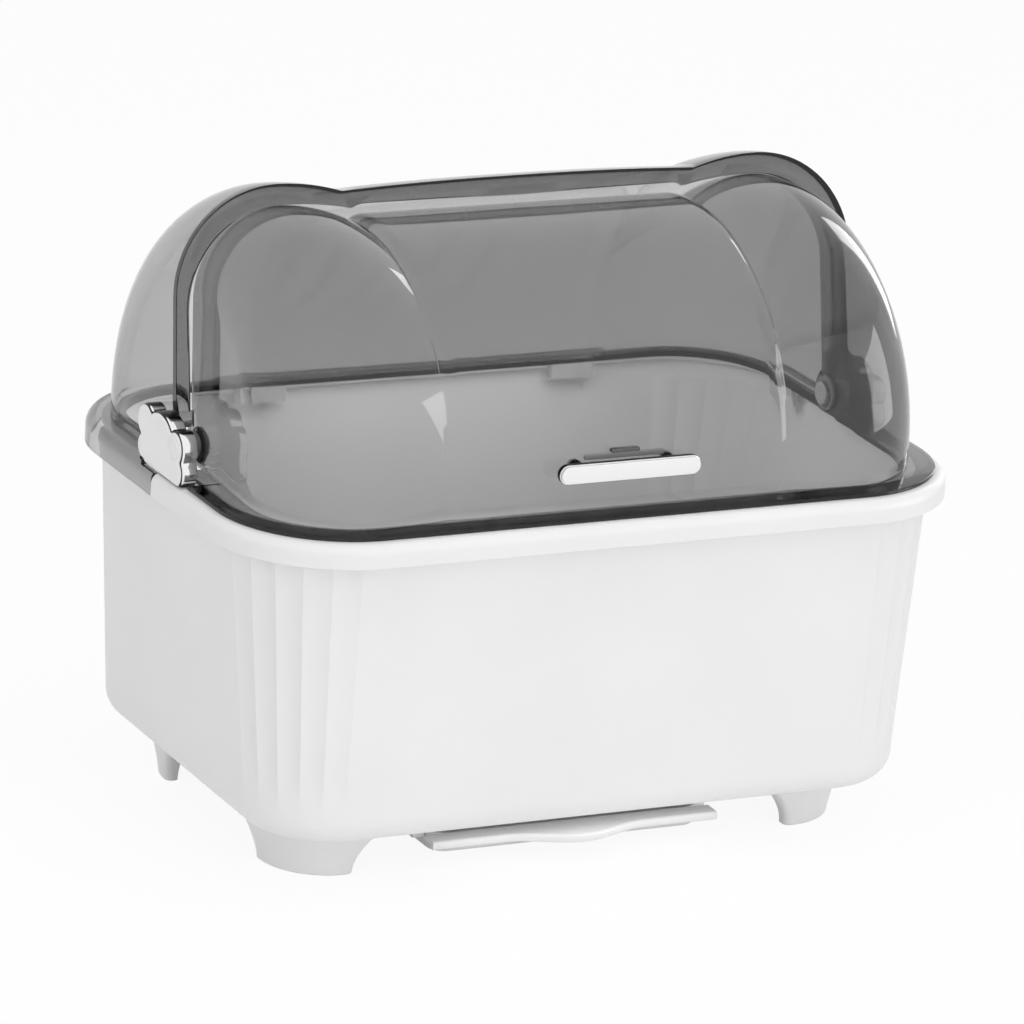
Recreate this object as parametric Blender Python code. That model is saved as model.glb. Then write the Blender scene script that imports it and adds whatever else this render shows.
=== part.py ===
"""Covered dish drainer: a white tub on four feet with a drain plate, a pull-out drip tray under it, a fixed
rear cover and a front cover that swings up into the rear one. Metres, +Z up, front towards -Y.
The origin is at the middle of the footprint, on the surface that the feet stand on."""

import math

import bmesh
import bpy
from mathutils import Matrix, Vector

# Rim and tub
RIM_WIDTH = 0.430
RIM_DEPTH = 0.290
RIM_CORNER_R = 0.073
FOOT_HEIGHT = 0.0282
BAND_HEIGHT = 0.013
BAND_CROWN = 0.0053
BAND_OVERHANG = 0.0088
TUB_HEIGHT = 0.171
TUB_TAPER_X = 0.0152
TUB_TAPER_Y = 0.0052
TUB_TAPER_R = 0.018
TUB_FILLET = 0.014
TUB_WALL = 0.0026
LEDGE_WIDTH = 0.006
LEDGE_THICK = 0.0022
OUTLET_R = 0.011
CROWN_SHARE = 0.45

# Flutes pressed into the tub's corners
FLUTE_COUNT = 5
FLUTE_DEPTH = 0.0016
FLUTE_PITCH_DEG = 14.3
FLUTE_FADE_HEIGHT = 0.030

# Cover hinge
HINGE_Y = -0.003
HINGE_ABOVE_RIM = 0.014
SEAM_LEAN_DEG = 8.7
COVER_WALL = 0.002
EAR_R = 0.0135
EAR_CLEARANCE = 0.002
SIDE_FLAT = 0.018

# Rear cover
REAR_BACK_INSET = 0.0125
REAR_SIDE_INSET = 0.0132
REAR_DRAFT = 0.0008
REAR_CORNER_R = 0.058
REAR_HUMP_RUN = 0.038
REAR_VALLEY_DROP = 0.006
REAR_MIDDLE_DROP = 0.0037
REAR_SWELL_SHARES = ((0.72, 0.55), (0.36, 0.9))
SEAM_LIP_THICK = 0.0022
SEAM_CLEARANCE = 0.0014

# Front cover
FRONT_STEP_TOP = 0.0118
FRONT_STEP_FOOT = 0.0120
FRONT_STEP_SIDE = 0.0118
FRONT_STEP_CREST = 0.003
FRONT_CORNER_TOP_R = 0.0485
FRONT_CORNER_FOOT_R = 0.0525
FRONT_HUMP_RUN = 0.0405
FRONT_VALLEY_DROP_TOP = 0.0105
FRONT_VALLEY_DROP_FOOT = 0.0045
FRONT_MIDDLE_DROP_TOP = 0.0075
FRONT_MIDDLE_DROP_FOOT = 0.0030
FRONT_CREASE_WIDTH = 0.0055
FRONT_CREASE_SHARE = 0.8
FRONT_OVERLAP = 0.0065
FLANGE_THICK = 0.0023
FLANGE_INSET = 0.006
FLANGE_WIDTH = 0.0197
FLANGE_BACK = 0.041

# Rear collar: the rear cover's flange and the skirt that it hangs over the rim
COLLAR_INNER_INSET = 0.022
SKIRT_WALL = 0.0025
COLLAR_FRONT_Y = -0.002
CLIP_WIDTH = 0.026
CLIP_HEIGHT = 0.009
CLIP_THICK = 0.0035
CLIP_REAR_SHARE = 0.67

# Hinge caps: lobes in the side view, as offsets from the hinge axis towards the front or back and up or down
CAP_THICK = 0.0086
CAP_FACE_THICK = 0.0013
CAP_FACE_INSET = 0.0009
CAP_EDGE = 0.0007
CAP_BODY_REACH = 0.0205
CAP_BODY_BACK = 0.001
CAP_BODY_DOWN = 0.0015
CAP_REAR_LOBE_R = 0.0095
CAP_REAR_LOBE_BACK = 0.0195
CAP_REAR_LOBE_UP = 0.009
CAP_FRONT_LOBE_R = 0.0095
CAP_FRONT_LOBE_FORWARD = 0.0195
CAP_FRONT_LOBE_UP = 0.0055
CAP_LOW_LOBE_R = 0.0085
CAP_LOW_LOBE_FORWARD = 0.0215
CAP_LOW_LOBE_DOWN = 0.007
CAP_HEEL_LOBE_R = 0.0075
CAP_HEEL_LOBE_BACK = 0.0200
CAP_HEEL_LOBE_DOWN = 0.0050
PIN_R = 0.0035
PIN_HEAD_R = 0.0065
PIN_HEAD_THICK = 0.002
BUSH_R = 0.0064
WASHER_R = 0.0095
WASHER_THICK = 0.0016

# Handle
HANDLE_LENGTH = 0.0828
HANDLE_HEIGHT = 0.0108
HANDLE_ABOVE_HINGE = 0.0115
HANDLE_REACH = 0.0118
HANDLE_THICK = 0.0058
HANDLE_FACE_THICK = 0.0012
HANDLE_FACE_INSET = 0.0007
POST_R = 0.003
POST_OFFSET = 0.027
BRIDGE_WIDTH = 0.018
BRIDGE_HEIGHT = 0.005
SCREW_HEAD_R = 0.0042
SCREW_HEAD_THICK = 0.0018
SCREW_SHANK_R = 0.0015

# Feet
FOOT_INSET_X = 0.046
FOOT_INSET_Y = 0.0465
FOOT_BEND_R = 0.0355
FOOT_WALL = 0.0066
FOOT_EDGE = 0.0013
FOOT_END = 0.0046
FOOT_END_R = 0.004
FOOT_SPREAD_OUT = 0.0062
FOOT_SPREAD_END = 0.0175
FOOT_OUT_POWER = 1.3
FOOT_END_POWER = 1.9
FOOT_STEPS = 12

# Drip tray and its rails
TRAY_SIDE_INSET = 0.135
TRAY_FRONT_INSET = 0.0535
TRAY_BACK_INSET = 0.033
TRAY_DEPTH = 0.0105
RAIL_DROP = 0.0138
TRAY_WALL = 0.0018
TRAY_CORNER_R = 0.010
TRAY_HANGER = 0.0045
TRAY_HANGER_THICK = 0.0018
TRAY_TRAVEL_GAP = 0.0008
LIP_SIDE_REACH = 0.0049
LIP_HEIGHT = 0.0045
LIP_REACH = 0.0103
LIP_BULGE = 0.011
LIP_BULGE_HALF_WIDTH = 0.042
LIP_WALL = 0.002
RAIL_THICK = 0.0022
RAIL_SHELF = 0.006

# Drain plate
PLATE_STAND = 0.021
PLATE_THICK = 0.003
PLATE_CLEARANCE = 0.004
PLATE_RAIL = 0.003
PLATE_LEG_R = 0.006
PLATE_LEG_INSET_X = 0.065
PLATE_LEG_INSET_Y = 0.057
SLOT_COLUMNS = 11
SLOT_WIDTH = 0.009
SLOT_END_INSET = 0.057
SLOT_SIDE_INSET = 0.075

GAP = 0.0003
OVERRUN = 0.010

HALF_WIDTH = RIM_WIDTH / 2
HALF_DEPTH = RIM_DEPTH / 2
TUB_TOP_Z = FOOT_HEIGHT + TUB_HEIGHT
RIM_TOP_Z = TUB_TOP_Z + GAP
HINGE_Z = RIM_TOP_Z + HINGE_ABOVE_RIM
SEAM_LEAN = math.radians(SEAM_LEAN_DEG)
FLANGE_BOTTOM_Z = RIM_TOP_Z + GAP
FLANGE_TOP_Z = FLANGE_BOTTOM_Z + FLANGE_THICK
COVER_FOOT_Z = FLANGE_BOTTOM_Z + FLANGE_THICK / 2
BAND_BOTTOM_Z = RIM_TOP_Z - BAND_HEIGHT

REAR_RADIUS = HALF_DEPTH - REAR_BACK_INSET - HINGE_Y
REAR_HALF_WIDTH = HALF_WIDTH - REAR_SIDE_INSET
REAR_CREST_X = REAR_HALF_WIDTH - REAR_DRAFT - REAR_CORNER_R
REAR_VALLEY_X = REAR_CREST_X - REAR_HUMP_RUN
FRONT_RADIUS_TOP = REAR_RADIUS - FRONT_STEP_TOP
FRONT_RADIUS_FOOT = REAR_RADIUS - FRONT_STEP_FOOT
FRONT_HINGE_HALF_WIDTH = REAR_HALF_WIDTH - FRONT_STEP_SIDE
FRONT_CREST_X = REAR_CREST_X - FRONT_STEP_CREST
FRONT_VALLEY_X = FRONT_CREST_X - FRONT_HUMP_RUN
CLIP_REAR_X = (HALF_WIDTH - RIM_CORNER_R) * CLIP_REAR_SHARE
CLIP_SIDE_Y = HALF_DEPTH - RIM_CORNER_R - CLIP_WIDTH / 2
FOOT_BEND_X = HALF_WIDTH - FOOT_INSET_X - FOOT_BEND_R
FOOT_BEND_Y = HALF_DEPTH - FOOT_INSET_Y - FOOT_BEND_R
TRAY_HALF_WIDTH = HALF_WIDTH - TRAY_SIDE_INSET
TRAY_FRONT_Y = TRAY_FRONT_INSET - HALF_DEPTH
TRAY_BACK_Y = HALF_DEPTH - TRAY_BACK_INSET
LIP_HALF_WIDTH = TRAY_HALF_WIDTH + LIP_SIDE_REACH
PLATE_LEG_X = HALF_WIDTH - PLATE_LEG_INSET_X
PLATE_LEG_Y = HALF_DEPTH - PLATE_LEG_INSET_Y
SLOT_LENGTH = HALF_DEPTH - SLOT_END_INSET
SLOT_PITCH = 2 * (HALF_WIDTH - SLOT_SIDE_INSET) / (SLOT_COLUMNS - 1)


def collection(name):
    made = bpy.data.collections.new(name)
    bpy.context.scene.collection.children.link(made)
    return made


def material(name, color, roughness, metallic=0.0, alpha=1.0):
    made = bpy.data.materials.new(name)
    made.use_nodes = True
    shader = made.node_tree.nodes["Principled BSDF"]
    shader.inputs["Base Color"].default_value = (*color, 1.0)
    shader.inputs["Roughness"].default_value = roughness
    shader.inputs["Metallic"].default_value = metallic
    shader.inputs["Alpha"].default_value = alpha
    made.diffuse_color = (*color, alpha)
    return made


def object_from(bm, name, where, mat=None, origin=(0, 0, 0)):
    bmesh.ops.recalc_face_normals(bm, faces=bm.faces)
    bm.transform(Matrix.Translation(-Vector(origin)))
    mesh = bpy.data.meshes.new(name)
    bm.to_mesh(mesh)
    bm.free()
    mesh.shade_smooth()
    mesh.set_sharp_from_angle(angle=math.radians(35))
    obj = bpy.data.objects.new(name, mesh)
    obj.location = origin
    where.objects.link(obj)
    if mat:
        mesh.materials.append(mat)
    return obj


def hide_cutter(obj):
    obj.hide_render = True
    obj.display_type = "WIRE"
    return obj


def boolean(obj, other, operation):
    hide_cutter(other)
    mod = obj.modifiers.new(operation.title() + " " + other.name, "BOOLEAN")
    mod.operation = operation
    mod.solver = "EXACT"
    mod.object = other
    return mod


def bake(obj):
    """Applies the modifiers, so that the result can be used in another cut."""
    bpy.context.view_layer.update()
    graph = bpy.context.evaluated_depsgraph_get()
    mesh = bpy.data.meshes.new_from_object(obj.evaluated_get(graph))
    obj.modifiers.clear()
    obj.data = mesh
    return obj


def ring_loft(bm, rings, close_along=False, caps=True):
    """Skins rings of as many points each. Open ends get one flat face, unless caps is false."""
    rows = [[bm.verts.new(point) for point in ring] for ring in rings]
    count = len(rows[0])
    last = len(rows) if close_along else len(rows) - 1
    for i in range(last):
        row, after = rows[i], rows[(i + 1) % len(rows)]
        for j in range(count):
            k = (j + 1) % count
            bm.faces.new((row[j], row[k], after[k], after[j]))
    if caps and not close_along:
        bm.faces.new(list(reversed(rows[0])))
        bm.faces.new(rows[-1])
    return rows


def rounded_rectangle(half_x, half_y, radius, steps, flute=0.0):
    """Points anticlockwise. Flutes scallop the corners between cusps that stay on the outline."""
    points = []
    pitch = math.radians(FLUTE_PITCH_DEG)
    first = math.pi / 4 - pitch * FLUTE_COUNT / 2
    for quarter, (sx, sy) in enumerate(((1, 1), (-1, 1), (-1, -1), (1, -1))):
        centre_x, centre_y = sx * (half_x - radius), sy * (half_y - radius)
        turns = [first * k / 2 for k in range(2)]
        turns += [first + pitch * FLUTE_COUNT * k / steps for k in range(steps + 1)]
        turns += [math.pi / 2 - turn for turn in reversed(turns[:2])]
        for turn in turns:
            along = (turn - first) / pitch
            inside = 0 <= along <= FLUTE_COUNT
            share = 4 * (along % 1) * (1 - along % 1) if inside else 0
            reach = radius - flute * share
            angle = turn + quarter * math.pi / 2
            points.append((centre_x + reach * math.cos(angle), centre_y + reach * math.sin(angle)))
    return points


def rim_outline(inset, steps=10):
    return rounded_rectangle(HALF_WIDTH - inset, HALF_DEPTH - inset, RIM_CORNER_R - inset, steps)


def box(name, low, high, where, mat=None, origin=None):
    bm = bmesh.new()
    bmesh.ops.create_cube(bm, size=1)
    size = Vector(high) - Vector(low)
    middle = (Vector(high) + Vector(low)) / 2
    bm.transform(Matrix.Translation(middle) @ Matrix.Diagonal((*size, 1)))
    return object_from(bm, name, where, mat, middle if origin is None else origin)


def rod(name, axis, start, length, radius, where, mat=None, segments=24):
    """A cylinder from a start point, along X or Y by a signed length."""
    bm = bmesh.new()
    bmesh.ops.create_cone(
        bm, cap_ends=True, segments=segments, radius1=radius, radius2=radius, depth=abs(length)
    )
    turn = Matrix.Rotation(math.pi / 2, 4, "Y" if axis == "X" else "X")
    if axis == "Z":
        turn = Matrix.Identity(4)
    step = {"X": Vector((1, 0, 0)), "Y": Vector((0, 1, 0)), "Z": Vector((0, 0, 1))}[axis]
    middle = Vector(start) + step * length / 2
    bm.transform(Matrix.Translation(middle) @ turn)
    return object_from(bm, name, where, mat, middle)


def tub_section(z, inset, steps, flute=0.0):
    """The tub's outline at a height. The wall draws in towards the floor."""
    down = (TUB_TOP_Z - z) / TUB_HEIGHT
    half_x = HALF_WIDTH - BAND_OVERHANG - TUB_TAPER_X * down - inset
    half_y = HALF_DEPTH - BAND_OVERHANG - TUB_TAPER_Y * down - inset
    radius = RIM_CORNER_R - BAND_OVERHANG - TUB_TAPER_R * down - inset
    return [(x, y, z) for x, y in rounded_rectangle(half_x, half_y, radius, steps, flute)]


def make_tub(parts, cutters, white):
    steps = FLUTE_COUNT * 4
    floor_z = FOOT_HEIGHT + TUB_WALL
    inner_fillet = TUB_FILLET - TUB_WALL
    rings = []
    for k in range(5):
        turn = math.pi / 2 * k / 4
        z = FOOT_HEIGHT + TUB_FILLET * (1 - math.sin(turn))
        inset = TUB_FILLET * (1 - math.cos(turn))
        rings.append(tub_section(z, inset, steps))
    rings.reverse()
    fade_top = FOOT_HEIGHT + TUB_FILLET + FLUTE_FADE_HEIGHT
    for k in (1, 2, 3):
        z = FOOT_HEIGHT + TUB_FILLET + FLUTE_FADE_HEIGHT * k / 3
        rings.append(tub_section(z, 0, steps, FLUTE_DEPTH * k / 3))
    fluted_top = BAND_BOTTOM_Z - GAP
    rings.append(tub_section((fade_top + fluted_top) / 2, 0, steps, FLUTE_DEPTH))
    rings.append(tub_section(fluted_top, 0, steps, FLUTE_DEPTH))
    rings.append(tub_section(fluted_top + FLUTE_DEPTH, 0, steps))
    rings.append(tub_section(TUB_TOP_Z, 0, steps))
    wall = TUB_WALL
    ledge = wall + LEDGE_WIDTH
    rings.append(tub_section(TUB_TOP_Z, ledge, steps))
    rings.append(tub_section(TUB_TOP_Z - LEDGE_THICK, ledge, steps))
    rings.append(tub_section(TUB_TOP_Z - LEDGE_THICK - LEDGE_WIDTH / 2, wall, steps))
    rings.append(tub_section(fluted_top, wall, steps))
    rings.append(tub_section(fluted_top - FLUTE_DEPTH, wall, steps, FLUTE_DEPTH))
    rings.append(tub_section((fade_top + fluted_top) / 2, wall, steps, FLUTE_DEPTH))
    rings.append(tub_section(fade_top, wall, steps, FLUTE_DEPTH))
    for k in range(5):
        turn = math.pi / 2 * k / 4
        z = floor_z + inner_fillet * (1 - math.sin(turn))
        inset = wall + inner_fillet * (1 - math.cos(turn))
        rings.append(tub_section(z, inset, steps))
    bm = bmesh.new()
    ring_loft(bm, rings)
    tub = object_from(bm, "tub", parts, white)
    outlet = rod(
        "cut_outlet", "Z", (0, 0, FOOT_HEIGHT - OVERRUN), TUB_WALL + 2 * OVERRUN, OUTLET_R, cutters
    )
    boolean(tub, outlet, "DIFFERENCE")
    return tub


def half_ring(name, outline_at, section, front, y_end, where, mat):
    """Sweeps a section of (inset, z) points along one half of an outline, cut square at y_end."""
    outlines = [outline_at(inset) for inset, _ in section]
    side = -1 if front else 1
    order = [i for i, point in enumerate(outlines[0]) if side * point[1] > 0]
    paths = []
    for (_, z), outline in zip(section, outlines):
        line = [outline[i] for i in order]
        start = (line[0][0], y_end)
        end = (line[-1][0], y_end)
        paths.append([(x, y, z) for x, y in [start, *line, end]])
    rings = [[path[i] for path in paths] for i in range(len(paths[0]))]
    bm = bmesh.new()
    ring_loft(bm, rings)
    return object_from(bm, name, where, mat)


def band_profile(inner_inset, bottom_z, top_z, wall=None):
    """The band's rounded outer side, as (inset, z) points. With a wall it is a bent strip, else solid."""
    height = top_z - bottom_z
    crown = BAND_CROWN
    outer = [(0, bottom_z), (0, top_z - height * CROWN_SHARE)]
    for k in (1, 2, 3):
        turn = math.pi / 2 * k / 3
        outer.append((crown * (1 - math.cos(turn)), top_z - height * CROWN_SHARE * (1 - math.sin(turn))))
    if wall is None:
        return outer + [(inner_inset, top_z), (inner_inset, bottom_z)]
    inner = [(wall, bottom_z), (wall, top_z - height * CROWN_SHARE - wall / 2)]
    for k in (1, 2, 3):
        turn = math.pi / 2 * k / 3
        inner.append(
            (
                wall + (crown - wall / 2) * (1 - math.cos(turn)),
                top_z - wall - (height * CROWN_SHARE - wall / 2) * (1 - math.sin(turn)),
            )
        )
    return outer + [(inner_inset, top_z), (inner_inset, top_z - wall)] + inner[::-1]


def lerp(a, b, share):
    return a + (b - a) * share


def rear_profile(inset=0.0):
    """Half of the rear cover's outline as (x, height over the hinge axis), from the hinge up to the middle."""
    radius = REAR_RADIUS - inset
    corner = REAR_CORNER_R - inset
    side_x = REAR_HALF_WIDTH - inset
    points = [(side_x, 0.0), (side_x, SIDE_FLAT)]
    points += corner_points(REAR_CREST_X, radius - corner, corner, 9)
    points += crest_points(REAR_CREST_X, REAR_VALLEY_X, radius, REAR_VALLEY_DROP, 5)
    middle = radius - REAR_MIDDLE_DROP
    valley = radius - REAR_VALLEY_DROP
    for x_share, rise_share in REAR_SWELL_SHARES:
        points.append((REAR_VALLEY_X * x_share, lerp(valley, middle, rise_share)))
    points.append((0.0, middle))
    return points


def corner_points(centre_x, centre_h, radius, steps):
    turns = [math.pi / 2 * k / steps for k in range(steps + 1)]
    return [(centre_x + radius * math.cos(t), centre_h + radius * math.sin(t)) for t in turns]


def crest_points(crest_x, valley_x, radius, drop, steps):
    """The hump's inner flank: an arc that starts level at the crest and falls by the drop at the valley."""
    run = crest_x - valley_x
    arc = (run * run + drop * drop) / (2 * drop)
    found = []
    for k in range(1, steps + 1):
        step = run * k / steps
        found.append((crest_x - step, radius - arc + math.sqrt(arc * arc - step * step)))
    return found


def front_profile(turn, inset=0.0):
    """As rear_profile, for the front cover: its humps are full at the top and nearly flat at the foot."""
    share = min(max(turn / (math.pi / 2), 0.0), 1.0)
    share = share * share * (3 - 2 * share)
    radius = lerp(FRONT_RADIUS_FOOT, FRONT_RADIUS_TOP, share) - inset
    corner = lerp(FRONT_CORNER_FOOT_R, FRONT_CORNER_TOP_R, share) - inset
    valley_drop = lerp(FRONT_VALLEY_DROP_FOOT, FRONT_VALLEY_DROP_TOP, share)
    middle_drop = lerp(FRONT_MIDDLE_DROP_FOOT, FRONT_MIDDLE_DROP_TOP, share)
    return front_points(radius, corner, valley_drop, middle_drop, inset)


def front_points(radius, corner, valley_drop, middle_drop, inset):
    side_x = FRONT_HINGE_HALF_WIDTH - inset
    points = [(side_x, 0.0), (side_x, SIDE_FLAT)]
    points += corner_points(FRONT_CREST_X, radius - corner, corner, 9)
    points += crest_points(FRONT_CREST_X, FRONT_VALLEY_X, radius, valley_drop, 5)
    middle = radius - middle_drop
    valley = radius - valley_drop
    crease_x = FRONT_VALLEY_X - FRONT_CREASE_WIDTH / 2
    points.append((crease_x, lerp(valley, middle, FRONT_CREASE_SHARE)))
    points.append((FRONT_VALLEY_X - FRONT_CREASE_WIDTH, middle))
    points.append((FRONT_VALLEY_X / 2, middle))
    points.append((0.0, middle))
    return points


def seam_opening(turn):
    """The rear lip's opening, which every part of the front cover's outline passes as it swings."""
    room = SEAM_CLEARANCE
    return front_points(
        FRONT_RADIUS_TOP + room,
        FRONT_CORNER_FOOT_R + room,
        FRONT_VALLEY_DROP_FOOT,
        FRONT_MIDDLE_DROP_FOOT,
        -(FRONT_CREST_X + FRONT_CORNER_FOOT_R - FRONT_HINGE_HALF_WIDTH + room),
    )


def dome(name, profile_at, foot_z, where, steps=26):
    """The solid that the outlines sweep over the hinge axis, front to back, with straight walls to its foot."""
    turns = [math.pi * k / steps for k in range(steps + 1)]
    stations = [(turns[0], foot_z - HINGE_Z)]
    stations += [(turn, 0.0) for turn in turns]
    stations.append((turns[-1], foot_z - HINGE_Z))
    bm = bmesh.new()
    poles = {}
    rows = []
    for turn, shift in stations:
        half = profile_at(turn)
        whole = [(-x, h) for x, h in half] + [(x, h) for x, h in reversed(half[:-1])]
        z = HINGE_Z + shift
        if shift not in poles:
            poles[shift] = [bm.verts.new((whole[k][0], HINGE_Y, z)) for k in (0, -1)]
        row = [poles[shift][0]]
        for x, h in whole[1:-1]:
            row.append(bm.verts.new((x, HINGE_Y - h * math.cos(turn), z + h * math.sin(turn))))
        row.append(poles[shift][1])
        rows.append(row)
    for row, after in zip(rows, rows[1:]):
        for j in range(len(row) - 1):
            corners = [row[j], row[j + 1], after[j + 1], after[j]]
            bm.faces.new(list(dict.fromkeys(corners)))
    bm.faces.new(rows[0])
    bm.faces.new(list(reversed(rows[-1])))
    return object_from(bm, name, where)


def seam_box(name, ahead, depth, where):
    """A block that runs back by its depth from a plane the given distance ahead of the seam."""
    reach = RIM_WIDTH
    cutter = box(name, (-reach, -ahead, -reach), (reach, depth - ahead, reach), where, origin=(0, 0, 0))
    cutter.rotation_euler = (-SEAM_LEAN, 0, 0)
    cutter.location = (0, HINGE_Y, HINGE_Z)
    return cutter


def hinge_rod(name, half_length, radius, where):
    """A rod along the hinge axis, centred on the middle plane."""
    start = (-half_length, HINGE_Y, HINGE_Z)
    return rod(name, "X", start, 2 * half_length, radius, where, segments=40)


def make_rear_cover(parts, cutters, tint):
    outer = dome("rear_cover", lambda turn: rear_profile(), COVER_FOOT_Z, parts)
    outer.data.materials.append(tint)
    keep = seam_box("keep_rear", 0, RIM_WIDTH, cutters)
    boolean(keep, hinge_rod("join_rear_ears", HALF_WIDTH, EAR_R, cutters), "UNION")
    bake(keep)
    boolean(outer, keep, "INTERSECT")
    inner_foot = FLANGE_BOTTOM_Z - OVERRUN
    inner = dome("cut_rear_inside", lambda turn: rear_profile(COVER_WALL), inner_foot, cutters)
    boolean(inner, seam_box("keep_rear_inside", -SEAM_LIP_THICK, RIM_WIDTH, cutters), "INTERSECT")
    bake(inner)
    boolean(outer, inner, "DIFFERENCE")
    boolean(outer, dome("cut_rear_mouth", seam_opening, inner_foot, cutters), "DIFFERENCE")
    room = hinge_rod("cut_rear_room", REAR_HALF_WIDTH - COVER_WALL, EAR_R + EAR_CLEARANCE, cutters)
    boolean(outer, room, "DIFFERENCE")
    section = band_profile(COLLAR_INNER_INSET, BAND_BOTTOM_Z, FLANGE_TOP_Z, SKIRT_WALL)
    collar = half_ring("join_collar", rim_outline, section, False, COLLAR_FRONT_Y, cutters, None)
    boolean(outer, collar, "UNION")
    for side in (-1, 1):
        start = (side * (REAR_HALF_WIDTH - OVERRUN), HINGE_Y, HINGE_Z)
        hole = rod("cut_pin_%d" % (side > 0), "X", start, side * 2 * OVERRUN, PIN_R + GAP, cutters)
        boolean(outer, hole, "DIFFERENCE")
        boolean(outer, cap_pocket("cut_cap_rear_%d" % (side > 0), side, cutters), "DIFFERENCE")
    return outer


def make_front_cover(parts, cutters, tint):
    outer = dome("front_cover", front_profile, COVER_FOOT_Z, parts)
    outer.data.materials.append(tint)
    keep = seam_box("keep_front", RIM_WIDTH, RIM_WIDTH + FRONT_OVERLAP, cutters)
    boolean(keep, hinge_rod("join_front_ears", HALF_WIDTH, EAR_R, cutters), "UNION")
    bake(keep)
    boolean(outer, keep, "INTERSECT")
    inner_foot = FLANGE_BOTTOM_Z - OVERRUN
    inner = dome("cut_front_inside", lambda turn: front_profile(turn, COVER_WALL), inner_foot, cutters)
    boolean(outer, inner, "DIFFERENCE")
    inner_inset = FLANGE_INSET + FLANGE_WIDTH
    section = [
        (FLANGE_INSET, FLANGE_BOTTOM_Z),
        (FLANGE_INSET, FLANGE_TOP_Z),
        (inner_inset, FLANGE_TOP_Z),
        (inner_inset, FLANGE_BOTTOM_Z),
    ]
    end_y = HINGE_Y - FLANGE_BACK
    flange = half_ring("join_flange", rim_outline, section, True, end_y, cutters, None)
    boolean(outer, flange, "UNION")
    for side in (-1, 1):
        tag = "%d" % (side > 0)
        start = (side * (FRONT_HINGE_HALF_WIDTH - OVERRUN), HINGE_Y, HINGE_Z)
        hole = rod("cut_ear_" + tag, "X", start, side * 2 * OVERRUN, PIN_R + GAP, cutters)
        boolean(outer, hole, "DIFFERENCE")
        start = (side * POST_OFFSET, front_wall_y() - OVERRUN, HINGE_Z + HANDLE_ABOVE_HINGE)
        bore = rod("cut_screw_" + tag, "Y", start, 2 * OVERRUN, SCREW_SHANK_R + GAP, cutters)
        boolean(outer, bore, "DIFFERENCE")
    return outer


def front_wall_y():
    """Where the front cover's middle panel stands at the handle's height."""
    turn = math.asin(HANDLE_ABOVE_HINGE / FRONT_RADIUS_FOOT)
    return HINGE_Y - front_profile(turn)[-1][1] * math.cos(turn)


def cap_lobes(grow):
    """Circles of the cap's outline, as (y, z, radius)."""
    return [
        (HINGE_Y + CAP_BODY_BACK, HINGE_Z - CAP_BODY_DOWN, CAP_BODY_REACH + grow),
        (HINGE_Y + CAP_REAR_LOBE_BACK, HINGE_Z + CAP_REAR_LOBE_UP, CAP_REAR_LOBE_R + grow),
        (HINGE_Y - CAP_FRONT_LOBE_FORWARD, HINGE_Z + CAP_FRONT_LOBE_UP, CAP_FRONT_LOBE_R + grow),
        (HINGE_Y - CAP_LOW_LOBE_FORWARD, HINGE_Z - CAP_LOW_LOBE_DOWN, CAP_LOW_LOBE_R + grow),
        (HINGE_Y + CAP_HEEL_LOBE_BACK, HINGE_Z - CAP_HEEL_LOBE_DOWN, CAP_HEEL_LOBE_R + grow),
    ]


def cap_outline(grow, count=64):
    """The lobes' common outline round the body's middle, cut level at the foot."""
    centre_y = HINGE_Y + CAP_BODY_BACK
    centre_z = HINGE_Z - CAP_BODY_DOWN
    foot = RIM_TOP_Z - grow
    found = []
    for k in range(count):
        turn = 2 * math.pi * k / count
        dy, dz = math.cos(turn), math.sin(turn)
        reach = 0.0
        for y, z, radius in cap_lobes(grow):
            oy, oz = y - centre_y, z - centre_z
            along = oy * dy + oz * dz
            off = oy * oy + oz * oz - along * along
            if off < radius * radius:
                reach = max(reach, along + math.sqrt(radius * radius - off))
        if dz < 0:
            reach = min(reach, (foot - centre_z) / dz)
        found.append((centre_y + reach * dy, centre_z + reach * dz))
    return found


def cap_plate(name, side, near, thick, grow, where, mat, edge=0.0):
    """A plate of the cap's outline, from the near distance off the middle outwards."""
    bm = bmesh.new()
    rings = [[(side * near, y, z) for y, z in cap_outline(grow)]]
    if edge:
        rings.append([(side * (near + thick - edge), y, z) for y, z in cap_outline(grow)])
        rings.append([(side * (near + thick), y, z) for y, z in cap_outline(grow - edge)])
    else:
        rings.append([(side * (near + thick), y, z) for y, z in cap_outline(grow)])
    ring_loft(bm, rings)
    return object_from(bm, name, where, mat, (0, HINGE_Y, HINGE_Z))


def cap_pocket(name, side, where):
    return cap_plate(name, side, REAR_HALF_WIDTH + GAP / 2, 2 * OVERRUN, GAP, where, None)


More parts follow.
